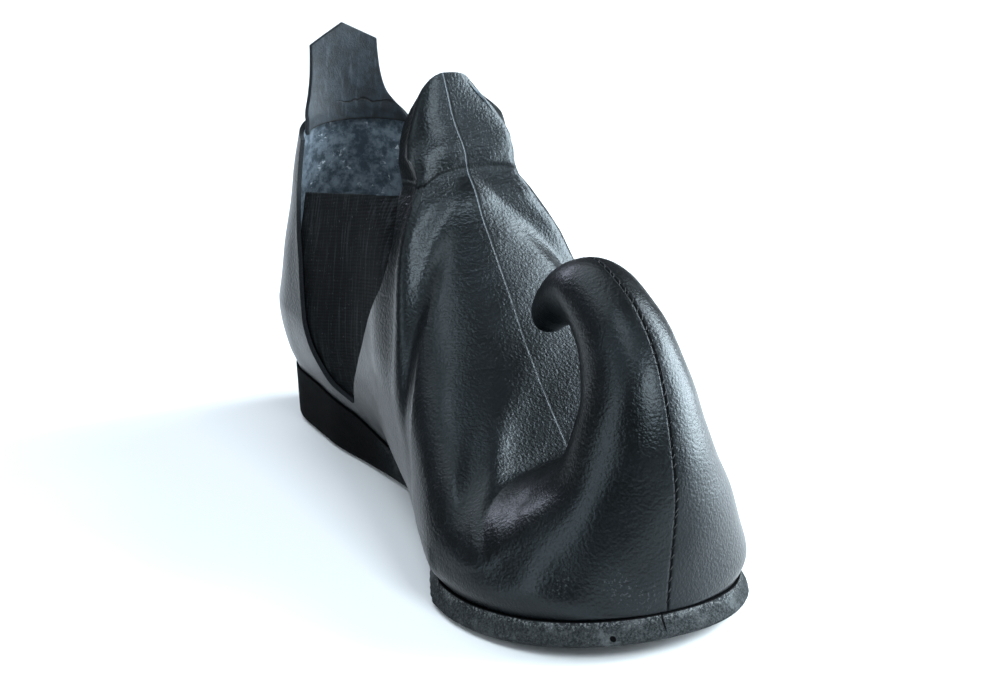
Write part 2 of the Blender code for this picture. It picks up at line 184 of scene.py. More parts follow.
# s, how far the side leans out towards the floor, radius of the lower edge
SOLE_EDGE = (
    (0.0, -1.0, 3.2),
    (90.0, -1.0, 3.2),
    (150.0, 0.0, 2.8),
    (200.0, 2.5, 2.8),
    (281.0, 3.0, 2.2),
)
half_width = track(SOLE_PLAN[:-2])
drift = track(SOLE_PLAN, 2)
sole_top = track(SOLE_SIDE)
sole_bottom = track(SOLE_SIDE, 2)
edge_lean = track(SOLE_EDGE)
edge_round = track(SOLE_EDGE, 2)
DRIFT_FULL = 12.0
DRIFT_NONE = 55.0


def drift_at(s, z):
    """The foot's sideways curve, full at the sole and gone at the top of the vamp."""
    return drift(s) * ease(0.0, 1.0, (DRIFT_NONE - z) / (DRIFT_NONE - DRIFT_FULL))


def foot_half(s, inset):
    """Half width of the sole's top edge at s, drawn in by inset."""
    reach = np.clip((s - BALL_AT) / (TOE_END - inset - BALL_AT), 0.0, 1.0)
    front = (BALL_HALF - inset) * (1 - reach ** TOE_POWER) ** (1 / TOE_POWER)
    return np.where(s <= BALL_AT, half_width(s) - inset, front)


print("sole is", round(float(2 * foot_half(BALL_AT, 0.0)), 1), "mm wide at the ball")

# %% [markdown]
# ## The upper as ribs and rings
#
# A real upper is leather pulled over a wooden last. Its shape could be lofted between sections, and
# that is done here: ribs stand on the sole's edge from the heel to the toe, and then rings climb the
# hollow horn and follow it back to its tip. Ribs and rings share the same columns, so a single number
# u, which counts them, runs from the back of the heel to the end of the curl.

# %% Rib and ring tables
COUNTER_TOP = 119.0
# turn: direction from the rib's axis to the side. foot_s: where the rib leaves the sole. top: where it
# ends, r being its distance from the middle. wide_r, level: the widest place and its share of the
# height. power: how full the rib is above that. bulge: how far it swells over the sole's edge.
RIB_COLUMNS = ("turn", "foot_s", "top_s", "top_z", "top_r", "wide_r", "level", "power", "bulge")
SOLE_RIBS = (
    (180.0, HEEL_CENTRE, 33.5, COUNTER_TOP, 26.5, 34.5, 0.30, 1.2, 0.0),
    (135.0, HEEL_CENTRE, 33.5, 117.0, 26.6, 35.6, 0.30, 1.08, 0.0),
    (90.0, HEEL_CENTRE + 1.0, 34.0, 113.0, 26.4, 36.4, 0.30, 1.0, 0.0),
    (90.0, 58.0, 57.0, 113.0, 26.6, 36.0, 0.30, 1.15, 0.0),
    (90.0, 84.0, 75.0, 117.0, 25.4, 33.5, 0.27, 1.6, 0.0),
    (90.0, 114.0, 88.0, 124.0, 23.0, 36.0, 0.20, 1.65, 0.0),
    (90.0, 146.0, 97.0, 145.0, 14.5, 42.5, 0.14, 1.5, 0.0),
    (90.0, 172.0, 102.5, 160.5, 0.0, 47.5, 0.12, 1.36, 0.0),
    (90.0, 188.0, 124.0, 120.5, 0.0, 51.0, 0.13, 1.38, 0.0),
    (90.0, 202.0, 141.0, 101.0, 0.0, 53.6, 0.15, 1.6, 0.0),
    (90.0, 218.0, 164.0, 80.0, 0.0, 54.4, 0.18, 1.8, 0.5),
    (90.0, 235.0, 186.0, 60.5, 0.0, 52.6, 0.23, 2.0, 1.0),
    (90.0, 252.0, 200.0, 48.5, 0.0, 49.4, 0.32, 2.0, 1.5),
    (90.0, 265.0, 208.0, 43.5, 0.0, 46.5, 0.44, 2.0, 3.0),
    (90.0, 272.0, 211.0, 43.5, 0.0, 45.0, 0.52, 2.0, 4.0),
    (90.0, TOE_END - FEATHER, 214.0, 44.5, 0.0, 44.0, 0.56, 2.0, 4.5),
)
# middle s and z, lean of the ring, half depth, half width, how full the front is
RING_COLUMNS = ("mid_s", "mid_z", "lean", "half_depth", "half_width", "front")
HORN_RINGS = (
    (248.0, 41.5, -14.0, 28.0, 35.5, 2.4),
    (250.0, 58.0, 0.0, 22.3, 25.6, 2.1),
    (247.5, 74.0, 12.0, 18.8, 20.0, 2.0),
    (239.5, 85.5, 34.0, 17.6, 16.8, 2.0),
    (228.8, 95.6, 60.0, 14.2, 14.8, 2.0),
    (213.0, 102.0, 91.0, 12.0, 13.4, 2.0),
    (198.4, 98.2, 117.0, 9.8, 11.8, 2.0),
    (188.0, 90.4, 138.0, 7.8, 9.6, 2.0),
    (182.0, 84.6, 150.0, 5.4, 7.0, 2.0),
    (179.8, 80.6, 158.0, 3.2, 4.2, 2.0),
    (179.2, 78.6, 165.0, 0.0, 0.0, 2.0),
)
TOE_RIB = len(SOLE_RIBS) - 1
LAST_RIB = TOE_RIB + len(HORN_RINGS)


def rib_rows():
    """Every rib with the same named columns, heel to tip."""
    rows = []
    for values in SOLE_RIBS:
        row = dict(zip(RIB_COLUMNS, values))
        row["foot_z"] = float(sole_top(row["foot_s"])) + SEAT_GAP
        row["front"] = HORN_RINGS[0][-1]
        rows.append(row)
    for values in HORN_RINGS:
        ring = dict(zip(RING_COLUMNS, values))
        lean = math.radians(ring["lean"])
        step_s = ring["half_depth"] * math.cos(lean)
        step_z = ring["half_depth"] * math.sin(lean)
        row = {"turn": 90.0, "top_r": 0.0, "level": 0.5, "power": 2.0, "wide_r": ring["half_width"]}
        row["bulge"] = 0.0
        row["front"] = ring["front"]
        row["foot_s"] = ring["mid_s"] + step_s
        row["foot_z"] = ring["mid_z"] + step_z
        row["top_s"] = ring["mid_s"] - step_s
        row["top_z"] = ring["mid_z"] - step_z
        rows.append(row)
    return rows


ROWS = rib_rows()
RIB_TRACKS = {name: Track(range(len(ROWS)), [row[name] for row in ROWS]) for name in ROWS[0]}
print(len(SOLE_RIBS), "ribs and", len(HORN_RINGS), "rings")

# %% [markdown]
# ## A point of the skin
#
# Each rib is cut in two at its widest place. Below that it follows the sole's edge, or the front of
# the horn; above that it runs as part of an ellipse to the ridge of the vamp. The throat tab is drawn
# in at its foot, where the ankle bends, and its inner edge is rounded towards the heel. It could be a
# piece of its own, but the real tab is cut in one with the vamp. The shares below are close together near
# both centre seams, so that a groove one millimetre wide has points of its own.

# %% Skin of the upper
SWELL_GAIN = 1.3
CREASE_DEPTH = 4.0
CREASE_Z = 117.0
CREASE_SPREAD = 10.0
CREASE_FROM = 12.0
PINCH_INNER = 0.10
PINCH_OUTER = -0.34
PINCH_FROM = 124.0
PINCH_FULL = 142.0
TAB_LEAN = 2.0
TAB_ROUND = 4.5
TAB_ROUND_AT = 16.0
ROUND_FROM = 118.0
ROUND_FULL = 133.0
HORN_LEAN = -2.5
throat = Track((0.0, 4.5, 6.0, 8.0, 9.5, LAST_RIB), (0.0, 0.0, 1.0, 1.0, 0.0, 0.0))
SEAM_STEPS = (0.0, 0.003, 0.007, 0.013, 0.022, 0.035, 0.055, 0.08, 0.11)
LOW_SHARES = np.concatenate((SEAM_STEPS, np.linspace(0.15, 0.94, 14)))
TOP_STEPS = (0.905, 0.93, 0.95, 0.966, 0.978, 0.986, 0.992, 0.9965, 1.0)
HIGH_SHARES = np.concatenate((np.linspace(0.0, 0.88, 24), TOP_STEPS))
LOW_COUNT = len(LOW_SHARES)
# ribs between which the horn comes to lean
LEAN_FROM, LEAN_FULL = TOE_RIB + 2.0, TOE_RIB + 5.0


def rib_at(u):
    """The rib at place u, with its foot on the sole's edge as far as the toe."""
    rib = {name: float(line(u)) for name, line in RIB_TRACKS.items()}
    rib["seated"] = 1 - float(ease(TOE_RIB, TOE_RIB + 1.0, u))
    rib["edge_s"] = TOE_END - FEATHER
    rib["curl"] = 1.0
    if u < TOE_RIB:
        rib["edge_s"] = rib["foot_s"]
        rib["foot_z"] = float(sole_top(rib["foot_s"])) + SEAT_GAP
        rib["curl"] = (1 - float(foot_half(rib["foot_s"], FEATHER)) / rib["wide_r"]) ** 2
    rib["throat"] = float(throat(u))
    rib["lean"] = HORN_LEAN * float(ease(LEAN_FROM, LEAN_FULL, u))
    return rib


def low_part(rib):
    """Shares of height and half widths of a rib below its widest place."""
    angle = np.radians(90 * LOW_SHARES)
    rise = LOW_SHARES + (1 - np.cos(angle) - LOW_SHARES) * rib["curl"]
    run = (rib["top_s"] - rib["foot_s"]) * rib["level"]
    edge = foot_half(rib["edge_s"] + run * rise, FEATHER)
    widening = rib["wide_r"] - foot_half(rib["edge_s"] + run, FEATHER)
    swell = SWELL_GAIN * np.sin(np.pi * rise) * np.cos(np.pi * rise / 2)
    on_sole = edge + widening * np.sin(np.radians(90 * rise)) + rib["bulge"] * swell
    on_horn = rib["wide_r"] * np.sin(angle) ** (2 / rib["front"])
    return rib["level"] * rise, on_horn + (on_sole - on_horn) * rib["seated"]


def high_part(rib):
    """The same above the widest place, up to the ridge."""
    angle = np.radians(90 * HIGH_SHARES)
    bend = 2 / rib["power"]
    height = rib["level"] + (1 - rib["level"]) * np.sin(angle) ** bend
    across = np.maximum(np.cos(angle), 0.0) ** bend
    across[-1] = 0.0
    return height, rib["top_r"] + (rib["wide_r"] - rib["top_r"]) * across


def rib_line(u, side):
    """Points up one rib as s, w, z, and each point's distance from the middle of the shoe."""
    rib = rib_at(u)
    low, high = low_part(rib), high_part(rib)
    q = np.concatenate((low[0], high[0]))
    r = np.concatenate((low[1], high[1]))
    z = rib["foot_z"] + (rib["top_z"] - rib["foot_z"]) * q
    fold = np.exp(-((z - CREASE_Z) / CREASE_SPREAD) ** 2)
    r = r - CREASE_DEPTH * rib["throat"] * fold * np.minimum(r / CREASE_FROM, 1.0)
    pinch = PINCH_INNER if side > 0 else PINCH_OUTER
    climb = rib["throat"] * ease(PINCH_FROM, PINCH_FULL, z)
    r = r * (1 - pinch * climb)
    turn = math.radians(rib["turn"])
    s = rib["foot_s"] + (rib["top_s"] - rib["foot_s"]) * q + r * math.cos(turn)
    if side > 0:
        s = s - TAB_ROUND * rib["throat"] * ease(ROUND_FROM, ROUND_FULL, z) * (r / TAB_ROUND_AT) ** 2
    w = side * r * math.sin(turn) + drift_at(s, z) + rib["lean"] + TAB_LEAN * climb
    return np.stack((s, w, z), -1), r


print("a rib has", LOW_COUNT, "points below its widest place and", len(HIGH_SHARES), "above")

# %% [markdown]
# ## The whole skin
#
# The last rib stands on the sole and the first ring lies in the horn, so a loft between the two has a
# kink. Leather bridges it in a soft curve. A subdivision surface would round it, but it would soften the
# heel and the tip as well, so the rows near the toe alone are smoothed along the shoe. The rows are
# closest at the throat, where the folds are small.

# %% Skin of both sides
# from rib, to rib, points per rib
RIB_SPANS = ((0.0, 5.0, 8), (5.0, 6.0, 14), (6.0, 9.0, 26), (9.0, 18.0, 14), (18.0, LAST_RIB, 12))
SOFT_BEFORE = (TOE_RIB - 1.4, TOE_RIB - 0.4)
SOFT_AFTER = (TOE_RIB + 1.2, TOE_RIB + 2.4)
SOFT_SHARES = (0.03, 0.30)
SOFT_PASSES = 60
# a distance in millimetres, and a length of a vector, that count as nothing
TINY = 1e-6
NO_LENGTH = 1e-9


def rib_places():
    """Where the rows of the skin lie, counted in ribs."""
    places = []
    for first, last, steps in RIB_SPANS:
        places.extend(np.linspace(first, last, round((last - first) * steps), endpoint=False))
    return np.array(places + [LAST_RIB])


def soften_toe(places, points):
    """Round off the bend between the last rib on the sole and the first ring of the horn."""
    rows = ease(*SOFT_BEFORE, places) * (1 - ease(*SOFT_AFTER, places))
    columns = np.concatenate((ease(*SOFT_SHARES, LOW_SHARES), np.ones(len(HIGH_SHARES))))
    weight = 0.5 * rows[1:-1, None, None] * columns[None, :, None]
    for _ in range(SOFT_PASSES):
        middle = (points[:-2] + points[2:]) / 2
        points[1:-1] += weight * (middle - points[1:-1])
    return points


def skin_grid(places, side):
    """All ribs at the given places: points, and distances from the middle."""
    lines = [rib_line(u, side) for u in places]
    points = soften_toe(places, np.array([line[0] for line in lines]))
    return places, points, np.array([line[1] for line in lines])


def grid_normals(points, side):
    """Outward unit normals of a grid of points."""
    along = np.gradient(points, axis=0)
    up = np.gradient(points, axis=1)
    normal = np.cross(up, along) * side
    normal /= np.maximum(np.linalg.norm(normal, axis=-1, keepdims=True), NO_LENGTH)
    return normal


PLACES = rib_places()
grids = {side: skin_grid(PLACES, side) for side in SIDES}
inner_points = grids[1][1]
inner_normals = grid_normals(inner_points, 1)
outward = float(inner_normals[..., 1].mean())
print("grid", inner_points.shape, "with normals that lean outwards by", round(outward, 2))

# %% [markdown]
# ## Folds
#
# A worn upper folds where the foot bends. On this shoe folds run from the instep down to the ball, a
# shelf lies behind the curled toe, a trough leaves the gore's point, and a trough between two swellings
# marks the throat tab's foot. A sculptor would make each one with a brush. Here each fold is a line of
# points on the shoe with a push and a radius, and the skin moves along its normal by a soft bell curve.
# All of them are wider than the gaps of the grid, because a sharper crease would leave facets.

# %% Folds as lines on the shoe
# s, w, z of a point on the line, push outwards in millimetres, radius
FOLDS = (
    # inner side, instep to ball: swelling
    ((184.0, 11.0, 62.0, 0.1, 6.0), (192.7, 22.3, 54.2, 0.9, 6.0), (201.0, 29.1, 47.4, 1.5, 5.6),
     (210.3, 35.6, 41.1, 1.5, 5.4), (220.0, 43.3, 35.3, 0.9, 5.4), (229.0, 49.9, 29.3, 0.1, 6.0)),
    # trough behind it
    ((191.0, 30.0, 55.0, -0.1, 3.8), (198.9, 36.6, 48.0, -0.6, 3.6), (207.8, 41.7, 41.3, -0.7, 3.4),
     (219.5, 49.3, 32.7, -0.4, 3.6), (226.0, 53.6, 26.5, -0.1, 4.0)),
    # narrow trough along it
    ((194.0, 28.0, 53.0, -0.1, 2.8), (201.8, 32.9, 46.6, -0.4, 2.6), (212.9, 39.5, 39.2, -0.5, 2.6),
     (223.0, 48.4, 32.1, -0.1, 3.0)),
    # low swelling towards the sole
    ((195.0, 39.0, 50.0, 0.1, 3.4), (204.2, 45.6, 41.6, 0.6, 3.4), (210.0, 50.4, 35.6, 0.5, 3.6),
     (215.2, 54.1, 29.2, 0.1, 4.0)),
    # shelf behind the curled toe
    ((212.0, 4.0, 43.5, 0.6, 4.5), (219.0, 18.0, 44.6, 1.2, 5.5), (218.3, 23.9, 42.6, 1.2, 5.5),
     (216.4, 29.7, 40.1, 0.6, 5.5), (219.0, 37.0, 37.2, 0.1, 5.0)),
    # hollow at the horn's foot
    ((253.9, 25.0, 58.5, -0.1, 6.0), (248.8, 28.7, 52.1, -0.8, 6.0), (240.0, 31.4, 47.0, -1.4, 6.0),
     (232.9, 33.3, 42.9, -1.5, 6.0), (233.9, 38.1, 39.6, -0.7, 6.0), (236.0, 44.0, 35.0, -0.1, 6.0)),
    # trough from the gore's point
    ((104.5, 35.2, 53.5, -0.2, 4.0), (118.6, 37.7, 48.9, -0.8, 4.0), (136.3, 41.1, 45.9, -0.9, 4.5),
     (153.2, 43.8, 42.8, -0.7, 5.0), (168.0, 46.6, 39.2, -0.5, 5.5), (184.8, 51.4, 35.1, -0.1, 5.5)),
    # swelling above it
    ((112.0, 34.0, 60.0, 0.2, 6.0), (127.4, 38.6, 62.0, 0.7, 7.0), (143.0, 40.8, 58.0, 0.8, 7.0),
     (159.4, 43.4, 51.0, 0.5, 7.0), (177.0, 48.1, 43.0, 0.1, 7.0)),
    # trough at the throat tab's foot
    ((112.0, 24.0, 116.5, -1.2, 4.5), (122.3, 20.0, 118.0, -1.8, 4.5), (123.8, 15.5, 119.8, -1.6, 4.5),
     (122.8, 11.1, 121.6, -1.3, 4.5), (122.2, 2.0, 122.4, -1.0, 4.5), (122.3, -8.9, 122.4, -1.2, 4.5),
     (122.1, -14.0, 122.4, -1.5, 4.5), (119.0, -20.0, 121.0, -1.5, 4.5)),
    # swelling of the tab above it
    ((112.0, 23.0, 124.5, 1.0, 5.5), (118.5, 18.5, 126.5, 1.6, 5.5), (119.8, 11.0, 128.5, 1.3, 5.5),
     (119.8, 0.0, 129.0, 0.9, 5.5), (119.8, -10.0, 129.0, 1.1, 5.5), (115.0, -20.0, 127.5, 1.2, 5.5)),
    # swelling of the vamp below it
    ((119.0, 25.0, 110.0, 1.2, 5.0), (127.0, 19.0, 111.5, 1.4, 5.0), (128.5, 11.0, 113.5, 1.0, 5.0),
     (128.5, 0.0, 114.2, 0.7, 5.0), (128.5, -10.0, 114.0, 1.1, 5.0), (126.0, -18.0, 112.5, 1.4, 5.0)),
    # tab's outer edge, drawn in
    ((114.5, -20.5, 124.5, -0.2, 6.5), (112.5, -20.0, 131.0, -0.9, 7.5), (109.0, -18.0, 139.0, -1.4, 7.5),
     (106.0, -13.5, 147.0, -1.3, 7.0)),
    # dent at the toe's inner side
    ((257.5, 37.7, 33.1, -0.1, 6.0), (262.0, 36.3, 29.5, -0.5, 6.0), (264.5, 35.6, 25.3, -0.4, 6.0)),
    # outer side, instep to ball: swelling
    ((196.0, -16.0, 52.0, 0.2, 5.5), (202.0, -27.0, 46.5, 1.2, 5.5), (210.0, -37.0, 39.5, 1.3, 5.2),
     (219.0, -44.0, 33.0, 0.4, 5.5)),
    # trough behind it, outer side
    ((188.0, -24.0, 56.0, -0.1, 4.5), (198.0, -35.0, 47.5, -0.7, 4.2), (208.0, -43.5, 38.5, -0.6, 4.2),
     (214.0, -48.0, 31.0, -0.1, 4.5)),
    # trough from the outer gore's point
    ((104.5, -35.2, 53.5, -0.2, 4.0), (124.0, -38.5, 48.0, -0.8, 4.5), (148.0, -43.0, 43.0, -0.7, 5.0),
     (172.0, -48.0, 37.0, -0.2, 5.5)),
    # outer shelf behind the curled toe
    ((214.0, -6.0, 44.0, 0.6, 5.0), (221.0, -20.0, 44.5, 1.2, 5.5), (222.0, -31.0, 40.0, 1.0, 5.5),
     (223.0, -40.0, 35.0, 0.1, 5.0)),
)


def fold_push(points, rows):
    """How far one fold pushes each point: a bell across the line, scaled along it."""
    rows = np.asarray(rows, float)
    nearest = np.full(points.shape[:-1], np.inf)
    push = np.zeros(points.shape[:-1])
    for a, b in zip(rows, rows[1:]):
        along = b[:3] - a[:3]
        t = np.clip(((points - a[:3]) @ along) / (along @ along), 0.0, 1.0)
        gap = np.linalg.norm(points - a[:3] - t[..., None] * along, axis=-1)
        depth, radius = (a[i] + (b[i] - a[i]) * t for i in (3, 4))
        closer = gap < nearest
        push[closer] = (depth * np.exp(-(gap / radius) ** 2))[closer]
        nearest = np.minimum(nearest, gap)
    return push


folded = {side: sum(fold_push(grids[side][1], rows) for rows in FOLDS) for side in SIDES}
for side in SIDES:
    deepest, highest = folded[side].min(), folded[side].max()
    print("side", side, "deepest", round(float(deepest), 1), "highest", round(float(highest), 1))

# %% [markdown]
# ## Seams and slack
#
# The two halves of the upper meet on the centre line. In front they are sewn edge to edge, so the seam
# is a groove that every stitch pulls in, and it goes into the mesh. Over the instep one half laps over
# the other by less than a millimetre. That step is left to the finish: each point carries its signed
# distance to the seam, and a distance blends evenly between points, however coarse the mesh is. The
# sharp crease at the tab's foot and the scuffs at the toe are marked on the points in the same way.
# Leather of this size is never quite smooth, so a few long, slow waves are added. They are sines, and so
# the same on every run.

# %% Seam profiles and slack
GROOVE_DEPTH = 0.7
GROOVE_HALF = 0.4
GROOVE_FROM, GROOVE_FULL = TOE_RIB - 1.5, TOE_RIB - 0.5
STITCH_PITCH = 3.4
STITCH_PULL = 0.2
FAR_OFF = 50.0
# s, how far the instep seam wanders from the middle to the inner side
SEAM_PATH = track(((107.0, 0.4), (115.0, 0.0), (130.0, 0.3), (146.0, 0.7), (159.0, 1.6), (173.0, 2.7),
                   (185.0, 3.0), (204.0, 2.6)))
# w, height of the crease at the throat tab's foot
CREASE_LINE = track(((-22.0, 120.6), (-15.9, 122.2), (-8.9, 123.3), (2.1, 123.5), (11.1, 122.6),
                     (15.5, 120.5), (20.7, 118.6), (25.0, 117.2)))
VAMP_FROM = 80.0
# s, w, z and radius of the scuffed spots at the toe
SCUFFS = (
    (272.5, 22.0, 25.7, 4.0),
    (274.6, 17.7, 23.0, 4.0),
    (275.3, 12.6, 20.5, 4.0),
    (263.0, 37.0, 25.0, 4.5),
)
# s, w and z waves per metre, phase, height in millimetres
SLACK_WAVES = (
    (14.0, 21.0, 9.0, 0.4, 0.20),
    (31.0, -19.0, 26.0, 2.1, 0.12),
    (-24.0, 37.0, 41.0, 4.0, 0.08),
)


def groove_push(places, points, r):
    """The front seam's groove, from each point's distance to the middle plane."""
    push = np.zeros(r.shape)
    steps = np.linalg.norm(np.diff(points[:, 0], axis=0), axis=-1)
    run = np.concatenate(((0.0,), np.cumsum(steps)))[:, None]
    pull = 1 - STITCH_PULL + STITCH_PULL * np.cos(2 * np.pi * run / STITCH_PITCH)
    low = r[:, :LOW_COUNT]
    groove = -GROOVE_DEPTH * pull * np.exp(-(low / GROOVE_HALF) ** 2)
    push[:, :LOW_COUNT] = groove * ease(GROOVE_FROM, GROOVE_FULL, places)[:, None]
    return push


def seam_marks(places, points, r, side):
    """Signed distance to the instep seam and distance to the front seam, far off elsewhere."""
    instep = side * r - SEAM_PATH(points[..., 0])
    instep[:, :LOW_COUNT] = FAR_OFF
    instep[places > TOE_RIB + 1] = FAR_OFF
    front = r.copy()
    front[:, LOW_COUNT:] = FAR_OFF
    front[places < TOE_RIB - 1] = FAR_OFF
    return instep, front


def crease_mark(points):
    """Height above the crease at the throat tab's foot, on the vamp only."""
    s, w, z = np.moveaxis(points, -1, 0)
    return np.where(s > VAMP_FROM, z - CREASE_LINE(w), -FAR_OFF)


def scuff_mark(points):
    """How near each point is to a scuffed spot, from 0 to 1."""
    near = np.zeros(points.shape[:-1])
    for *spot, radius in SCUFFS:
        near = np.maximum(near, np.exp(-(np.linalg.norm(points - spot, axis=-1) / radius) ** 2))
    return near


def slack_push(points):
    """Long shallow waves over the whole skin."""
    metres = points * MM
    push = np.zeros(points.shape[:-1])
    for s, w, z, phase, height in SLACK_WAVES:
        push += height * np.sin(2 * np.pi * (metres @ np.array((s, w, z))) + phase)
    return push


print(len(SLACK_WAVES), "slack waves and", len(SCUFFS), "scuffed spots")

# %% The dressed skin
SEAT_FADE = 7.0
SEAM_FADE = 2.0
TIP_FROM, TIP_FULL = LAST_RIB - 1.2, LAST_RIB - 0.2


def dressed_grid(side):
    """The skin with its folds, seams and slack, quiet at the sole's edge and at the horn's tip."""
    places, points, r = grids[side]
    push = folded[side] + slack_push(points)
    above_sole = points[..., 2] - sole_top(points[..., 0]) - SEAT_GAP
    push = push * ease(0.0, SEAT_FADE, above_sole)
    seam = groove_push(places, points, r) * ease(0.0, SEAM_FADE, above_sole)
    push = (push + seam) * (1 - ease(TIP_FROM, TIP_FULL, places))[:, None]
    normal = grid_normals(points, side)
    in_middle = r < TINY
    normal[in_middle, 1] = 0.0
    length = np.linalg.norm(normal, axis=-1, keepdims=True)
    normal = np.where(length > TINY, normal / np.maximum(length, TINY), 0.0)
    return points + normal * push[..., None], folded[side]


dressed = {side: dressed_grid(side) for side in SIDES}
print("dressed", {side: grid[0].shape for side, grid in dressed.items()})

# %% [markdown]
# ## From points to meshes
#
# The upper and the gores are made the same way: a grid of points is trimmed along a side-view outline, as
# a knife would trim leather on the last, and Solidify then gives the sheet a real thickness with a cut
# edge square to the face. A Boolean could trim the thick piece, but it stumbles over folds this fine.
# Here each quad that the outline crosses is cut where the signed distance to the outline is zero.

# %% Trimmed sheets


def new_object(name, data):
    piece = bpy.data.objects.new(name, data)
    bpy.context.scene.collection.objects.link(piece)
    return piece


def outline_gap(points, outline):
    """Signed distance of points to a closed outline of s and z, negative inside it."""
    s, z = points[..., 0], points[..., 2]
    nearest = np.full(s.shape, np.inf)
    inside = np.zeros(s.shape, bool)
    corners = np.asarray(outline, float)
    for (s0, z0), (s1, z1) in zip(corners, np.roll(corners, -1, axis=0)):
        ds, dz = s1 - s0, z1 - z0
        t = np.clip(((s - s0) * ds + (z - z0) * dz) / (ds * ds + dz * dz), 0.0, 1.0)
        nearest = np.minimum(nearest, np.hypot(s - s0 - t * ds, z - z0 - t * dz))
        if dz != 0:
            inside ^= ((z0 > z) != (z1 > z)) & (s < s0 + (z - z0) * ds / dz)
    return np.where(inside, -nearest, nearest)


class Sheet:
    """A grid of shoe points that is added to a mesh where its keep value is positive."""

    def __init__(self, points, keep, flip, marks):
        self.values = np.concatenate([to_world(points)] + [mark[..., None] for mark in marks], -1)
        self.keep = keep
        self.flip = flip
        self.made = {}

    def vert(self, mesh, layers, key, values):
        if key not in self.made:
            made = mesh.verts.new(values[:3])
            for layer, value in zip(layers, values[3:]):
                made[layer] = value
            self.made[key] = made
        return self.made[key]

    def crossing(self, mesh, layers, a, b):
        a, b = sorted((a, b))
        t = self.keep[a] / (self.keep[a] - self.keep[b])
        return self.vert(mesh, layers, (a, b), self.values[a] + (self.values[b] - self.values[a]) * t)

    def add_to(self, mesh, layers):
        rows, columns = self.keep.shape
        kept = self.keep > 0
        for i in range(rows - 1):
            for j in range(columns - 1):
                ring = [(i, j), (i + 1, j), (i + 1, j + 1), (i, j + 1)]
                face = []
                for a, b in zip(ring, ring[1:] + ring[:1]):
                    if kept[a]:
                        face.append(self.vert(mesh, layers, a, self.values[a]))
                    if kept[a] != kept[b]:
                        face.append(self.crossing(mesh, layers, a, b))
                if len(face) > 2:
                    mesh.faces.new(face[::-1] if self.flip else face)


print("sheets can be trimmed")

# %% Mesh helpers
MERGE = 0.00002
SMOOTH_ANGLE = math.radians(42)


def settled_data(name, mesh):
    """A finished mesh with doubled points joined."""
    bmesh.ops.remove_doubles(mesh, verts=mesh.verts, dist=MERGE)
    bmesh.ops.dissolve_degenerate(mesh, edges=mesh.edges, dist=MERGE)
    data = bpy.data.meshes.new(name)
    mesh.to_mesh(data)
    mesh.free()
    return data


def sheet_mesh(name, sheets, labels=()):
    """One sheet from several grids; labels name the marks that each point carries."""
    mesh = bmesh.new()
    layers = [mesh.verts.layers.float.new(label) for label in labels]
    for sheet in sheets:
        sheet.add_to(mesh, layers)
    return settled_data(name, mesh)


def add_wall(piece, thickness, inner_slot=0, rim_slot=0):
    """Thickness added on the inside of a sheet."""
    wall = piece.modifiers.new("Wall", "SOLIDIFY")
    wall.thickness = thickness * MM
    wall.offset = -1.0
    wall.use_quality_normals = True
    wall.material_offset = inner_slot
    wall.material_offset_rim = rim_slot


def settle(piece):
    """Put the modifiers' result into the mesh, smooth it, and keep its sharp edges."""
    graph = bpy.context.evaluated_depsgraph_get()
    data = bpy.data.meshes.new_from_object(piece.evaluated_get(graph), depsgraph=graph)
    piece.modifiers.clear()
    piece.data = data
    data.shade_smooth()
    data.set_sharp_from_angle(angle=SMOOTH_ANGLE)
    return piece


def dress(piece, node):
    """Let a piece stand for its solid and ride with the shoe."""
    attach(piece, "root")
    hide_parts(node)
    print(piece.name, len(piece.data.polygons), "faces")


print("mesh helpers ready")

# %% [markdown]
# ## Shader maths as plain expressions
#
# Node trees are easier to read as formulas. The small class below wraps a socket, so that `1 - mask`
# or `grain * 0.3 + pores` adds the Math nodes for it. Colours go through Mix nodes, since a Math node
# would turn them grey. Any other node comes from one method, which takes the node's settings first and
# its sockets after them.

# %% A socket that understands arithmetic


class Value:
    """A number that varies over a surface."""

    def __init__(self, paint, socket):
        self.paint = paint
        self.socket = socket

    def maths(self, operation, *others):
        node = self.paint.tree.nodes.new("ShaderNodeMath")
        node.operation = operation
        for socket, item in zip(node.inputs, (self, *others)):
            self.paint.feed(socket, item)
        return Value(self.paint, node.outputs[0])

    def reflected(self, operation, other):
        node = self.paint.tree.nodes.new("ShaderNodeMath")
        node.operation = operation
        node.inputs[0].default_value = other
        self.paint.feed(node.inputs[1], self)
        return Value(self.paint, node.outputs[0])

    def __add__(self, other):
        return self.maths("ADD", other)

    def __sub__(self, other):
        return self.maths("SUBTRACT", other)

    def __mul__(self, other):
        return self.maths("MULTIPLY", other)

    def __radd__(self, other):
        return self.reflected("ADD", other)

    def __rsub__(self, other):
        return self.reflected("SUBTRACT", other)

    def __rmul__(self, other):
        return self.reflected("MULTIPLY", other)

    def sine(self):
        return self.maths("SINE")

    def absolute(self):
        return self.maths("ABSOLUTE")

    def most(self, other):
        return self.maths("MAXIMUM", other)

    def step(self, low, high):
        """A soft step from 0 at low to 1 at high; low may be the larger of the two."""
        return self.paint.node("ShaderNodeMapRange", {"interpolation_type": "SMOOTHSTEP"},
                               {"Value": self, "From Min": low, "From Max": high})["Result"]


print("values add, subtract and multiply")

# %% One material at a time
# a Mix node has sockets of the same name for each kind of data, so these go by number
MIX_SHARE, MIX_FIRST, MIX_SECOND = 0, 6, 7


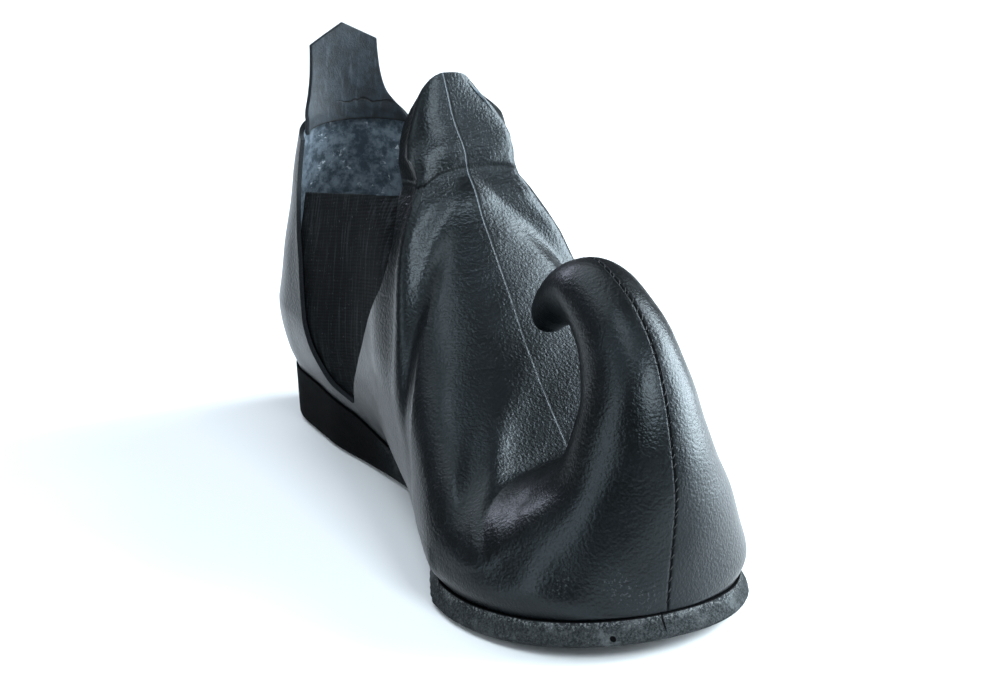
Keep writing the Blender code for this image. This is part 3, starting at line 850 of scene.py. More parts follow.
class Paint:
    """One material: its tree, its shader and the few nodes that every finish starts from."""

    def __init__(self, name, **constants):
        self.material = bpy.data.materials.new(name)
        self.material.use_nodes = True
        self.tree = self.material.node_tree
        self.shader = self.tree.nodes["Principled BSDF"]
        self.shader.inputs["Metallic"].default_value = 0.0
        for label, value in constants.items():
            self.shader.inputs[label.replace("_", " ")].default_value = value
        metres = self.node("ShaderNodeTexCoord", {}, {})["Object"]
        self.place = self.node("ShaderNodeVectorMath", {"operation": "SCALE"},
                               {0: metres, "Scale": 1 / MM})["Vector"]

    def feed(self, socket, item):
        if isinstance(item, Value):
            item = item.socket
        if isinstance(item, bpy.types.NodeSocket):
            self.tree.links.new(item, socket)
        else:
            socket.default_value = item

    def node(self, kind, settings, sockets):
        """Any node: its settings, then its sockets by name or number; gives its outputs by name."""
        made = self.tree.nodes.new(kind)
        for label, value in settings.items():
            setattr(made, label, value)
        for label, item in sockets.items():
            self.feed(made.inputs[label], item)
        return {out.name: Value(self, out) for out in made.outputs if out.enabled}

    def stretched(self, scale, turn=(0.0, 0.0, 0.0)):
        """Millimetre coordinates, turned and then scaled along each axis."""
        sockets = {"Vector": self.place, "Rotation": turn, "Scale": scale}
        return self.node("ShaderNodeMapping", {}, sockets)["Vector"]

    def noise(self, size, detail=3.0, rough=0.5, where=None):
        """Soft noise with features about size millimetres across."""
        sockets = {"Vector": where or self.place, "Scale": 1 / size, "Detail": detail, "Roughness": rough}
        return self.node("ShaderNodeTexNoise", {}, sockets)["Fac"]

    def cells(self, size):
        """Distance to the middles of rounded cells about size millimetres across."""
        return self.node("ShaderNodeTexVoronoi", {"feature": "SMOOTH_F1"},
                         {"Vector": self.place, "Scale": 1 / size})["Distance"]

    def mark(self, name):
        """A value that the mesh carries on its points."""
        return self.node("ShaderNodeAttribute", {"attribute_name": name}, {})["Fac"]

    def axes(self):
        """The millimetre coordinates one by one."""
        parts = self.node("ShaderNodeSeparateXYZ", {}, {0: self.place})
        return parts["X"], parts["Y"], parts["Z"]

    def blend(self, share, first, second):
        """The second colour over the first. A colour is a tuple or comes from another blend."""
        first, second = ((*item, 1.0) if isinstance(item, tuple) else item for item in (first, second))
        sockets = {MIX_SHARE: share, MIX_FIRST: first, MIX_SECOND: second}
        return self.node("ShaderNodeMix", {"data_type": "RGBA"}, sockets)["Result"]

    def bump(self, height, millimetres, strength=1.0, under=None):
        """A Bump node from a height between 0 and 1 that stands for so many millimetres."""
        sockets = {"Strength": strength, "Distance": millimetres * MM, "Height": height}
        if under is not None:
            sockets["Normal"] = under
        return self.node("ShaderNodeBump", {}, sockets)["Normal"]

    def finish(self, colour=None, roughness=None, normal=None, coat=None):
        for label, item in (("Base Color", colour), ("Roughness", roughness), ("Normal", normal),
                            ("Coat Weight", coat)):
            if item is not None:
                self.feed(self.shader.inputs[label], item)
        print("finish", self.material.name, len(self.tree.nodes), "nodes")
        return self.material


print("shader helper ready")

# %% [markdown]
# ## Black grained leather
#
# The upper is a soft black leather with a blue-grey cast. Its grain is pebbles of a millimetre and less,
# crossed by wrinkles where it bends, and it shines most where it was rubbed. One could paint maps for
# this. Voronoi cells and stretched noise do it at any distance, and the marks on the mesh say where the
# leather is rubbed, bent, sewn, creased and scuffed. Shade is painted near-black into the front seam's
# groove, the ditch beside the instep lap and the crease at the throat tab's foot.

# %% Leather
LEATHER_DEEP = (0.0009, 0.0012, 0.0015)
LEATHER_MID = (0.0026, 0.0034, 0.0042)
LEATHER_WORN = (0.016, 0.019, 0.022)
COOL = (0.82, 0.94, 1.0, 1.0)
# painted shade: near-black laid into the seam grooves, the ditch beside the lap and the tab's crease
PAINTED_SHADE_DARK = (0.0010, 0.0012, 0.0014)
CUT_PALE = (0.075, 0.088, 0.10)
SCUFF_PALE = (0.10, 0.11, 0.115)
# s between which the instep seam's pale edge, and its height, come in towards the throat
PALE_FROM, PALE_TO = 146.0, 130.0
FADE_FROM, FADE_TO = 165.0, 138.0
# x from the middle, in millimetres, between which the painted shadow in the tab's crease grows from faint
# to dark
FAINT_AT, DARK_AT = 8.0, -12.0


def instep_seam(paint):
    """The lap's height from 0 to 1, a mask of its pale cut edge, and one of the ditch beside it."""
    gap = paint.mark("instep")
    _, along, _ = paint.axes()
    forward = START_Y / MM - along
    broken = paint.noise(3.0, 3.0, 0.6)
    pale = forward.step(PALE_FROM, PALE_TO)
    line = (gap - 0.05).absolute().step(0.22, 0.05) * broken.step(0.34, 0.50) * pale
    fade = forward.step(FADE_FROM, FADE_TO) * 0.7 + 0.3
    ditch = (gap + 0.55).absolute().step(0.6, 0.15)
    return gap.step(-0.35, 0.25) * fade, line, ditch * fade


def tab_crease(paint):
    """The overhang above the crease from 0 to 1, and a mask of the painted shadow line under the overhang.
    """
    above = paint.mark("crease")
    wobble = paint.noise(4.0, 3.0, 0.6) * 1.6 - 0.8
    height = above + wobble
    across, _, _ = paint.axes()
    # painted shadow: the crease line is darker towards the inner side of the shoe
    inner = across.step(MIDDLE_X / MM + FAINT_AT, MIDDLE_X / MM + DARK_AT) * 0.75 + 0.25
    return height.step(-0.9, 1.1), (height + 0.3).absolute().step(0.75, 0.15) * inner


def make_leather():
    paint = Paint("black_leather", Coat_Roughness=0.20, Specular_IOR_Level=0.24, Specular_Tint=COOL)
    warp = paint.noise(6.0, 2.0)
    pebbles = 1 - paint.cells(1.0)
    beads = 1 - paint.cells(0.6)
    pores = paint.noise(0.36, 2.0, 0.6)
    bend = paint.mark("bend")
    wrinkles = paint.noise(1.0, 3.0, 0.55, paint.stretched((0.14, 0.50, 0.70), (0.35, 0.0, 0.0)))
    patches = paint.noise(26.0, 4.0, 0.6)
    fold = paint.mark("fold")
    scratch = paint.noise(1.0, 2.0, 0.7, paint.stretched((0.9, 0.9, 0.06), (0.5, 0.2, 0.3)))
    lap, line, ditch = instep_seam(paint)
    over, crease = tab_crease(paint)
    sewn = paint.mark("front").step(0.85, 0.3)
    specks = paint.noise(0.9, 4.0, 0.7)
    scuffed = paint.mark("scuff") * specks.step(0.56, 0.66)
    rubbed = fold.step(0.3, 1.8) * 0.25 + patches.step(0.55, 0.8) * 0.25 + scratch.step(0.68, 0.8) * 0.3
    dull = paint.blend(patches.step(0.3, 0.7), LEATHER_DEEP, LEATHER_MID)
    colour = paint.blend(rubbed * 0.5, dull, LEATHER_WORN)
    # painted shade: the front seam's groove, the ditch beside the instep lap and the tab's crease line turn
    # near-black and lose their gloss
    seam_and_crease_shade = (ditch * 0.7).most(sewn).most(crease)
    colour = paint.blend(seam_and_crease_shade, colour, PAINTED_SHADE_DARK)
    colour = paint.blend(line, colour, CUT_PALE)
    colour = paint.blend(scuffed * 0.6, colour, SCUFF_PALE)
    grain = pebbles * 0.7 + beads * 0.35 + pores * 0.2 + wrinkles * (0.25 + bend * 1.1)
    seam = paint.bump(lap * 0.15 - ditch * 0.15 + over * 0.8, 1.0)
    normal = paint.bump(grain, 0.20, 1.0, seam)
    dry = line.most(seam_and_crease_shade).most(scuffed)
    roughness = 0.26 + patches * 0.10 + warp * 0.06 - rubbed * 0.05 + dry * 0.65
    coat = (0.06 + rubbed * 0.12) * (1 - seam_and_crease_shade)
    return paint.finish(colour, roughness, normal, coat)


leather = make_leather()

# %% [markdown]
# ## Lining and cut edges
#
# Inside, the counter shows the flesh side of the leather, grey and scuffed. Cut edges show its fibres,
# a little paler than the black face. Both could share the leather's material, but a nap has no gloss, so
# each has a plain rough finish of its own.

# %% Lining and cut edges
LINING_DARK = (0.032, 0.045, 0.058)
LINING_GREY = (0.13, 0.16, 0.19)
LINING_SCUFF = (0.50, 0.55, 0.60)
FIBRE_DARK = (0.003, 0.004, 0.005)
FIBRE_PALE = (0.020, 0.024, 0.028)


def make_lining():
    paint = Paint("grey_lining", Specular_IOR_Level=0.3)
    mottle = paint.noise(5.0, 5.0, 0.7)
    nap = paint.noise(0.5, 3.0, 0.7)
    scuffs = paint.noise(4.0, 6.0, 0.8)
    place = paint.noise(16.0, 2.0)
    colour = paint.blend(mottle.step(0.38, 0.64), LINING_DARK, LINING_GREY)
    colour = paint.blend(scuffs.step(0.58, 0.68) * place.step(0.46, 0.6), colour, LINING_SCUFF)
    return paint.finish(colour, 0.72 + nap * 0.15, paint.bump(nap * 0.5 + mottle, 0.5, 0.9))


def make_raw_edge():
    paint = Paint("raw_edge", Specular_IOR_Level=0.2)
    fibres = paint.noise(0.35, 4.0, 0.7)
    colour = paint.blend(fibres.step(0.35, 0.7), FIBRE_DARK, FIBRE_PALE)
    return paint.finish(colour, 0.8 + fibres * 0.1, paint.bump(fibres, 0.15))


lining = make_lining()
raw_edge = make_raw_edge()

# %% [markdown]
# ## Ribbed elastic
#
# A gore is a webbing of covered rubber threads, black, with ribs across and lint caught in it. Each
# thread could be a tube, but there are hundreds, so a sine makes the ribs and stretched noise makes the
# threads. The cut top edge has begun to fray, so its line is needed here already.

# %% Ribbed elastic
ELASTIC_DEEP = (0.0008, 0.0010, 0.0012)
ELASTIC_RIB = (0.0048, 0.0058, 0.0065)
ELASTIC_STREAK = (0.026, 0.030, 0.032)
LINT_GREY = (0.11, 0.12, 0.13)
FRAY_GREY = (0.09, 0.105, 0.12)
RIB_PITCH = 1.3
RIB_SLANT = 0.28
GORE_TOP_REAR = 93.5
GORE_TOP_FRONT = 116.5
GORE_REAR_S = 26.5
GORE_FRONT_S = 121.0
GORE_TOP_SLOPE = (GORE_TOP_FRONT - GORE_TOP_REAR) / (GORE_FRONT_S - GORE_REAR_S)


def make_elastic():
    paint = Paint("ribbed_elastic", Specular_IOR_Level=0.05)
    _, along, up = paint.axes()
    forward = START_Y / MM - along
    wander = paint.noise(14.0, 2.0)
    ribs = ((up + along * RIB_SLANT + wander) * (2 * math.pi / RIB_PITCH)).sine() * 0.5 + 0.5
    threads = paint.noise(1.0, 2.0, 0.6, paint.stretched((0.5, 1.7, 0.12)))
    lint = paint.noise(1.2, 4.0, 0.7)
    streak = paint.noise(1.0, 3.0, 0.6, paint.stretched((0.3, 0.6, 0.04)))
    below_top = GORE_TOP_REAR + (forward - GORE_REAR_S) * GORE_TOP_SLOPE - up
    fray = (below_top + threads * 1.6 - 0.8).step(1.3, 0.3)
    colour = paint.blend(ribs * 0.4 + threads * 0.4, ELASTIC_DEEP, ELASTIC_RIB)
    colour = paint.blend(streak.step(0.48, 0.70) * 0.45, colour, ELASTIC_STREAK)
    colour = paint.blend(lint.step(0.62, 0.74) * 0.6, colour, LINT_GREY)
    colour = paint.blend(fray * 0.6, colour, FRAY_GREY)
    return paint.finish(colour, 0.75 + threads * 0.15, paint.bump(ribs + threads * 0.7, 0.2, 0.7))


elastic = make_elastic()

# %% [markdown]
# ## Split leather
#
# The pull tab is split leather, mottled and streaked by many pulls. A short tear runs across it just
# above the counter, and a painted shadow darkens a band along its lower edge. A tear that is cut into
# the mesh would need a finer grid than the whole tab, so it is a dark, sunken line in the finish.

# %% Split leather
SPLIT_DARK = (0.002, 0.0045, 0.007)
SPLIT_GREY = (0.010, 0.016, 0.022)
SPLIT_STREAK = (0.05, 0.064, 0.078)
# near-black for the tear, and for the painted shadow along the tab's lower edge
TEAR_AND_SHADOW_DARK = (0.0008, 0.0010, 0.0012)
TAB_LAP = 114.5
TEAR_Z = 122.5
TEAR_X = 2.0
TEAR_SLOPE = -0.05


def make_tab_leather():
    paint = Paint("tab_split_leather", Specular_IOR_Level=0.3)
    across, _, up = paint.axes()
    mottle = paint.noise(5.0, 6.0, 0.72)
    nap = paint.noise(0.6, 3.0, 0.65)
    streak = paint.noise(1.0, 4.0, 0.6, paint.stretched((0.5, 0.3, 0.1)))
    wobble = paint.noise(5.0, 4.0, 0.6) * 5.0 - 2.5
    tear = (up - TEAR_Z - across * TEAR_SLOPE + wobble).absolute().step(0.42, 0.1)
    tear = tear * (across - TEAR_X).step(-3.0, 1.0)
    # painted shadow: a dark band along the lower edge of the tab
    shadow_band = (up + wobble * 0.3).step(TAB_LAP + 1.4, TAB_LAP + 0.3)
    colour = paint.blend(mottle.step(0.38, 0.62), SPLIT_DARK, SPLIT_GREY)
    colour = paint.blend(streak.step(0.52, 0.72) * 0.35, colour, SPLIT_STREAK)
    colour = paint.blend(tear.most(shadow_band), colour, TEAR_AND_SHADOW_DARK)
    height = nap * 0.4 + mottle - tear * 1.5
    return paint.finish(colour, 0.55 + mottle * 0.2, paint.bump(height, 0.4, 0.9))


tab_leather = make_tab_leather()

# %% [markdown]
# ## Crepe
#
# Crepe rubber is full of grains and pale flecks, more at its upper rim, and here it is cracked and
# pricked at the toe. Towards the heel the sole turns plain black. Grains in the mesh would be too many,
# so they are cells and noise.

# %% Crepe
CREPE_DARK = (0.012, 0.0138, 0.0146)
CREPE_GREY = (0.052, 0.057, 0.059)
CREPE_WORN = (0.10, 0.108, 0.111)
FLECK_PALE = (0.26, 0.275, 0.28)
RIM_PALE = (0.24, 0.25, 0.255)
# near-black for the cracks and the hole, and for the painted shade along the sole's top edge
CRACK_AND_SHADE_DARK = (0.002, 0.0022, 0.0024)
HEEL_BLACK = (0.0010, 0.0013, 0.0017)
CRACK_X = -4.2
CRACK_Y = -120.0
CRACK_FADE = 8.0
HOLE_X = -21.5
HOLE_Z = 8.5


def make_crepe():
    paint = Paint("granular_crepe", Specular_IOR_Level=0.02)
    grains = paint.cells(0.9)
    crumbs = paint.noise(0.8, 4.0, 0.75)
    layers = paint.noise(1.0, 3.0, 0.6, paint.stretched((0.12, 0.12, 0.9)))
    wear = paint.noise(7.0, 5.0, 0.65)
    across, along, up = paint.axes()
    heel = along.step(0.0, 50.0)
    share = paint.mark("share")
    flecks = paint.noise(0.8, 4.0, 0.75)
    rim = (share + wear * 0.3 - 0.15).step(0.72, 0.92)
    # painted shade: a dark line along the top of the sole's side, under the upper
    seat_shade = share.step(0.955, 0.99)
    crack = (across - CRACK_X + paint.noise(3.0, 3.0) * 2.0 - 1.0).absolute().step(0.45, 0.12)
    at_toe = along.step(CRACK_Y, CRACK_Y - CRACK_FADE)
    crack = crack * at_toe * share.step(0.40, 0.55)
    hole_x, hole_z = across - HOLE_X, up - HOLE_Z
    hole = (hole_x * hole_x + hole_z * hole_z).step(1.1, 0.5) * at_toe
    colour = paint.blend(crumbs.step(0.35, 0.72), CREPE_DARK, CREPE_GREY)
    colour = paint.blend(wear.step(0.48, 0.70) * 0.6, colour, CREPE_WORN)
    colour = paint.blend(flecks.step(0.66, 0.76) * 0.55, colour, FLECK_PALE)
    colour = paint.blend(rim * flecks.step(0.50, 0.66) * 0.65, colour, RIM_PALE)
    colour = paint.blend(crack.most(hole).most(seat_shade), colour, CRACK_AND_SHADE_DARK)
    colour = paint.blend(heel * 0.97, colour, HEEL_BLACK)
    height = (1 - grains) * 0.5 + crumbs + layers * 0.6 - crack.most(hole) * 2.0
    return paint.finish(colour, 0.8 - heel * 0.1, paint.bump(height, 0.5, 0.9))


crepe = make_crepe()

# %% [markdown]
# ## Board and thread
#
# The insole is a napped board in two greys, trodden in patches. The thread is dark and twisted from fine
# strands. Fibres could be hairs, but they are far smaller than a stitch, so noise in the bump is enough.

# %% Board and thread
BOARD_DARK = (0.03, 0.032, 0.035)
BOARD_GREY = (0.075, 0.078, 0.082)
THREAD_DARK = (0.006, 0.007, 0.008)


def make_board():
    paint = Paint("insole_board", Specular_IOR_Level=0.2)
    nap = paint.noise(0.7, 4.0, 0.7)
    tread = paint.noise(30.0, 3.0, 0.5)
    colour = paint.blend(tread.step(0.35, 0.65), BOARD_DARK, BOARD_GREY)
    return paint.finish(colour, 0.85 + nap * 0.1, paint.bump(nap, 0.25))


def make_thread(name, colour):
    paint = Paint(name, Base_Color=(*colour, 1.0), Roughness=0.6, Specular_IOR_Level=0.3)
    strands = paint.noise(0.2, 2.0, 0.6)
    return paint.finish(normal=paint.bump(strands, 0.06))


board = make_board()
dark_thread = make_thread("dark_thread", THREAD_DARK)

# %% [markdown]
# ## Where the leather is cut
#
# The counter, the vamp with its throat tab, and the gores' openings have clean cut edges. Each could be
# cut on the flat, as a shoemaker does. In side view they are two curves that meet at the gore's point,
# so one outline trims both sides of the shoe.

# %% Cutting lines
# s and z down the counter's front edge, and down the vamp's rear edge from the tip of the throat tab
COUNTER_EDGE = ((27.0, 130.0), (29.4, 112.0), (32.6, 93.0), (36.6, 80.0), (41.6, 69.0), (48.0, 55.5),
                (53.0, 43.6), (58.5, 34.0), (66.5, 27.0), (82.0, 23.6))
VAMP_EDGE = ((106.7, 152.7), (106.8, 149.0), (106.0, 144.0), (105.2, 138.0), (106.0, 132.0), (108.6, 126.5),
             (111.8, 121.0), (114.6, 116.0), (119.5, 109.5), (124.0, 102.5), (126.2, 95.0), (126.0, 87.0),
             (120.6, 75.0), (108.0, 59.5), (99.0, 46.0), (90.0, 33.5), (82.0, 23.6))
WINDOW_TOP = 170.0
EDGE_STEPS = 40


def curve_points(corners, steps):
    """Points on a smooth curve through side-view corners."""
    places = range(len(corners))
    spread = np.linspace(0, len(corners) - 1, steps + 1)
    along = Track(places, [c[0] for c in corners])(spread)
    up = Track(places, [c[1] for c in corners])(spread)
    return list(zip(along.tolist(), up.tolist()))


def collar_outline():
    """What is cut away: the collar, and the gores' openings down to their points."""
    counter = curve_points(COUNTER_EDGE, EDGE_STEPS)
    vamp = curve_points(VAMP_EDGE, 2 * EDGE_STEPS)
    over = [(VAMP_EDGE[0][0], WINDOW_TOP), (COUNTER_EDGE[0][0], WINDOW_TOP)]
    return counter + vamp[::-1][1:] + over


print("collar outline has", len(collar_outline()), "corners")

# %% [markdown]
# ## The upper
#
# The two dressed grids are trimmed by the collar's outline and joined into one sheet, which gets the
# leather's thickness on its inside, with a lining slot for the inner wall and another for the cut edges.
# Two thick halves could be joined instead, but one sheet has no seam inside. Every point carries marks
# for the finish: the height of its fold, how much the leather bends there, its distances to the seams
# and the crease, and how scuffed it is.

# %% Upper
LEATHER_THICK = 1.8
UPPER_MARKS = ("fold", "bend", "instep", "front", "crease", "scuff")
FLEX_AT = 118.0
FLEX_SPREAD = 34.0
FLEX_BACK, FLEX_FRONT = (96.0, 118.0), (176.0, 206.0)
BALL_FLEX_AT = 208.0
BALL_FLEX_SPREAD = 22.0
BALL_FLEX = 0.6
BALL_LOW, BALL_HIGH = (14.0, 26.0), (58.0, 72.0)


def bend_marks(points):
    """Where the leather bends most: over the instep and at the ball of the foot."""
    s, _, z = np.moveaxis(points, -1, 0)
    instep = np.exp(-((z - FLEX_AT) / FLEX_SPREAD) ** 2)
    instep = instep * ease(*FLEX_BACK, s) * (1 - ease(*FLEX_FRONT, s))
    ball = BALL_FLEX * np.exp(-((s - BALL_FLEX_AT) / BALL_FLEX_SPREAD) ** 2)
    ball = ball * ease(*BALL_LOW, z) * (1 - ease(*BALL_HIGH, z))
    return np.maximum(instep, ball)


def make_upper():
    sheets = []
    for side in SIDES:
        points, fold = dressed[side]
        keep = outline_gap(grids[side][1], collar_outline())
        seams = seam_marks(*grids[side], side)
        spots = (crease_mark(grids[side][1]), scuff_mark(grids[side][1]))
        sheets.append(Sheet(points, keep, side < 0, (fold, bend_marks(points), *seams, *spots)))
    piece = new_object("upper_leather", sheet_mesh("upper_leather", sheets, UPPER_MARKS))
    for material in (leather, lining, raw_edge):
        piece.data.materials.append(material)
    add_wall(piece, LEATHER_THICK, 1, 2)
    return settle(piece)


upper = make_upper()
dress(upper, "upper")

# %% [markdown]
# ## The gores
#
# Each gore is a piece of elastic webbing behind the leather, wide above and narrow below. A flat piece
# would stand off from the round ankle, so it follows the same skin, a little more than the leather's
# thickness further in, and reaches under the leather's edges as a sewn gore does.

# %% Gores
GORE_MARGIN = 6.0
GORE_POINT_LIFT = 1.5
GORE_FIRST, GORE_LAST, GORE_STEPS = 2, 7, 80
GORE_HIGH_COUNT = 22
GORE_COLUMNS = LOW_COUNT + GORE_HIGH_COUNT
GORE_DEPTH = 2.6
GORE_THICK = 1.2
EDGE_CLEAR = 2.0


def gore_outline():
    """The elastic itself: the opening widened under the leather, with its own top edge."""
    counter = [(s - GORE_MARGIN, z) for s, z in curve_points(COUNTER_EDGE, EDGE_STEPS)]
    vamp = [(s + GORE_MARGIN, z) for s, z in curve_points(VAMP_EDGE, 2 * EDGE_STEPS)]
    rear = [(s, z + GORE_POINT_LIFT) for s, z in counter if z < GORE_TOP_REAR - EDGE_CLEAR]
    front = [(s, z + GORE_POINT_LIFT) for s, z in vamp if z < GORE_TOP_FRONT - EDGE_CLEAR]
    return [(rear[0][0], GORE_TOP_REAR)] + rear + front[::-1] + [(front[0][0], GORE_TOP_FRONT)]


def make_gore(name, side):
    _, points, _ = skin_grid(np.linspace(GORE_FIRST, GORE_LAST, GORE_STEPS + 1), side)
    points = points[:, :GORE_COLUMNS]
    keep = -outline_gap(points, gore_outline())
    points = points - grid_normals(points, side) * GORE_DEPTH
    piece = new_object(name, sheet_mesh(name, [Sheet(points, keep, side < 0, ())]))
    piece.data.materials.append(elastic)
    piece.data.materials.append(raw_edge)
    add_wall(piece, GORE_THICK, 0, 1)
    return settle(piece)


for gore_name, gore_side in (("gore_medial", 1), ("gore_lateral", -1)):
    dress(make_gore(gore_name + "_elastic", gore_side), gore_name)

# %% [markdown]
# ## The pull tab
#
# A tall tab of split leather is sewn inside the counter, to pull the shoe on by. It is a bent sheet with
# a house-shaped top. A plain extrusion would look like card, so the sheet waves a little and its edges
# are rounded by a bevel.

# %% Pull tab
TAB_PEAK = 153.5
TAB_SHOULDER = 146.0
TAB_HALF = 14.2
TAB_THICK = 1.8
TAB_FLATTEN = 1.5
WALL = 2.0
TAB_SIDES = track(((TAB_LAP, 22.5), (117.0, 22.0), (121.0, 19.5), (126.0, 16.8), (136.0, 14.7),
                   (TAB_SHOULDER, TAB_HALF), (TAB_PEAK, TAB_HALF)))
TAB_COLUMNS, TAB_ROWS = 48, 60
TAB_WAVE = 0.35
WAVE_ACROSS, WAVE_UP, WAVE_PHASE = 5.2, 7.5, 0.6
WAVE_FROM, WAVE_FULL = 122.0, 134.0
TAB_BEVEL = 0.35


def tab_grid():
    """The tab's back face, as it bends with the counter and flattens above it."""
    across = np.linspace(-1, 1, TAB_COLUMNS + 1)[:, None]
    up = np.linspace(0, 1, TAB_ROWS + 1)[None, :]
    peak = TAB_SHOULDER + (TAB_PEAK - TAB_SHOULDER) * (1 - np.abs(across))
    z = TAB_LAP + (peak - TAB_LAP) * up
    w = across * TAB_SIDES(z)
    first = float(RIB_TRACKS["top_r"](0)) - WALL - 2 * SEAT_GAP
    radius = first + TAB_FLATTEN * np.maximum(z - COUNTER_TOP, 0.0)
    back = float(RIB_TRACKS["top_s"](0)) - first
    wave = TAB_WAVE * np.sin(w / WAVE_ACROSS + WAVE_PHASE) * np.sin(z / WAVE_UP)
    wave = wave * ease(WAVE_FROM, WAVE_FULL, z)
    s = back + radius - np.sqrt(radius * radius - w * w) + wave
    return np.stack((s, w, z), -1)


def make_tab():
    points = tab_grid()
    sheet = Sheet(points, np.ones(points.shape[:2]), False, ())
    piece = new_object("pull_tab_leather", sheet_mesh("pull_tab_leather", [sheet]))
    piece.data.materials.append(tab_leather)
    piece.data.materials.append(raw_edge)
    add_wall(piece, TAB_THICK, 0, 1)
    rounding = piece.modifiers.new("Rounding", "BEVEL")
    rounding.width = TAB_BEVEL * MM
    rounding.segments = 2
    rounding.limit_method = "ANGLE"
    return settle(piece)


pull_tab = make_tab()
dress(pull_tab, "pull_tab")

# %% [markdown]
# ## The crepe sole
#
# Crepe is poured and cut, so its side is never quite even. A slab could be cut out and roughened by
# displacement. Here the sole is built as stacked outlines, from the rounded lower edge up to the top, and
# each point of the side moves a little in or out by crossed sines, at the forefoot and not at the smooth
# black heel. Every point carries its share of the height, which the finish needs.

# %% Rings of the sole
SOLE_HEEL_STEPS, SOLE_SIDE_STEPS, SOLE_TOE_STEPS = 40, 120, 110
ROUND_STEPS = 6
SIDE_RINGS = 12


def outline_points(grow):
    """Half outline from heel to toe as s and w; grow(s) moves the edge out."""
    angle = np.radians(np.linspace(0, 90, SOLE_HEEL_STEPS, endpoint=False))
    radius = HEEL_RADIUS + grow(HEEL_CENTRE - HEEL_RADIUS * np.cos(angle))
    heel = np.stack((HEEL_CENTRE - radius * np.cos(angle), radius * np.sin(angle)), -1)
    s = np.linspace(HEEL_CENTRE, BALL_AT, SOLE_SIDE_STEPS, endpoint=False)
    waist = np.stack((s, half_width(s) + grow(s)), -1)
    angle = np.radians(np.linspace(0, 90, SOLE_TOE_STEPS + 1))
    out = grow(BALL_AT + (TOE_END - BALL_AT) * np.sin(angle))
    s = BALL_AT + (TOE_END - BALL_AT + out) * np.sin(angle) ** (2 / TOE_POWER)
    w = (BALL_HALF + out) * np.maximum(np.cos(angle), 0.0) ** (2 / TOE_POWER)
    w[-1] = 0.0
    return np.concatenate((heel, waist, np.stack((s, w), -1)))


def sole_rings():
    """Half outlines from the floor up, as arrays of s, w, z."""
    rings = []
    for i in range(ROUND_STEPS + 1):
        angle = math.radians(90 * i / ROUND_STEPS)
        flat = outline_points(lambda s: edge_lean(s) - edge_round(s) * (1 - math.sin(angle)))
        lift = sole_bottom(flat[:, 0]) + edge_round(flat[:, 0]) * (1 - math.cos(angle))
        rings.append(np.column_stack((flat, lift)))
    last = rings[-1]
    top = outline_points(lambda s: 0.0 * s)
    top = np.column_stack((top, sole_top(top[:, 0])))
    for i in range(1, SIDE_RINGS + 1):
        rings.append(last + (top - last) * (i / SIDE_RINGS))
    return rings


rings_of_sole = sole_rings()
print(len(rings_of_sole), "rings of", 2 * len(rings_of_sole[0]), "points")

# %% Sole
CREPE_ROUGH = 0.28
ROUGH_FROM, ROUGH_FULL = 110.0, 165.0
CENTRE_FADE = 3.0
# waves of the cut side, in radians per millimetre
BROAD_S, BROAD_Z, BROAD_SLANT = 0.9, 1.4, 0.31
FINE_S, FINE_W, FINE_Z = 2.3, 1.7, 2.9


def roughen(points, side):
    """Small uneven swellings of the cut side, the same on every run."""
    s, w, z = np.moveaxis(points, -1, 0)
    broad = np.sin(s * BROAD_S + side) * np.sin(z * BROAD_Z + s * BROAD_SLANT)
    fine = np.sin(s * FINE_S + w * FINE_W + z * FINE_Z)
    return CREPE_ROUGH * 0.5 * (broad + fine) * ease(ROUGH_FROM, ROUGH_FULL, s)


def sole_half(ring, side, rough):
    """One half of a ring placed on its side of the shoe."""
    s, w, z = ring.T
    moved = np.column_stack((s, side * w + drift_at(s, z), z))
    if rough:
        push = roughen(moved, side) * ease(0.0, CENTRE_FADE, w)
        moved[:, 1] += side * push
    return to_world(moved)


def slab_mesh(name, rings, rough_rings=()):
    """A closed slab of rings, capped below and above by strips across the shoe."""
    mesh = bmesh.new()
    share = mesh.verts.layers.float.new("share")
    loops = []
    for number, ring in enumerate(rings):
        halves = [sole_half(ring, side, number in rough_rings) for side in SIDES]
        loops.append([[mesh.verts.new(p) for p in half] for half in halves])
        for vert in loops[-1][0] + loops[-1][1]:
            vert[share] = number / (len(rings) - 1)
    count = len(rings[0])
    for below, above in zip(loops, loops[1:]):
        for i in range(count - 1):
            mesh.faces.new([below[0][i], below[0][i + 1], above[0][i + 1], above[0][i]])
            mesh.faces.new([below[1][i + 1], below[1][i], above[1][i], above[1][i + 1]])
    for loop, flip in ((loops[0], False), (loops[-1], True)):
        for i in range(count - 1):
            corners = [loop[0][i], loop[1][i], loop[1][i + 1], loop[0][i + 1]]
            mesh.faces.new(corners[::-1] if flip else corners)
    return settled_data(name, mesh)


def make_sole():
    rough_rings = range(ROUND_STEPS - 1, len(rings_of_sole) - 1)
    piece = new_object("crepe_sole", slab_mesh("crepe_sole", rings_of_sole, rough_rings))
    piece.data.materials.append(crepe)
    return settle(piece)


sole = make_sole()
dress(sole, "outsole")

# %% [markdown]
# ## The insole
#
# A thin napped board lies on the sole inside the shoe and follows its rise from the ball to the heel. It
# could be cut from a copy of the sole. As the same kind of slab with a smaller outline, it gets its
# chamfered rim from four rings.

# %% Insole
INSOLE_INSET = 3.8
INSOLE_THICK = 2.0
INSOLE_RIM = 0.6


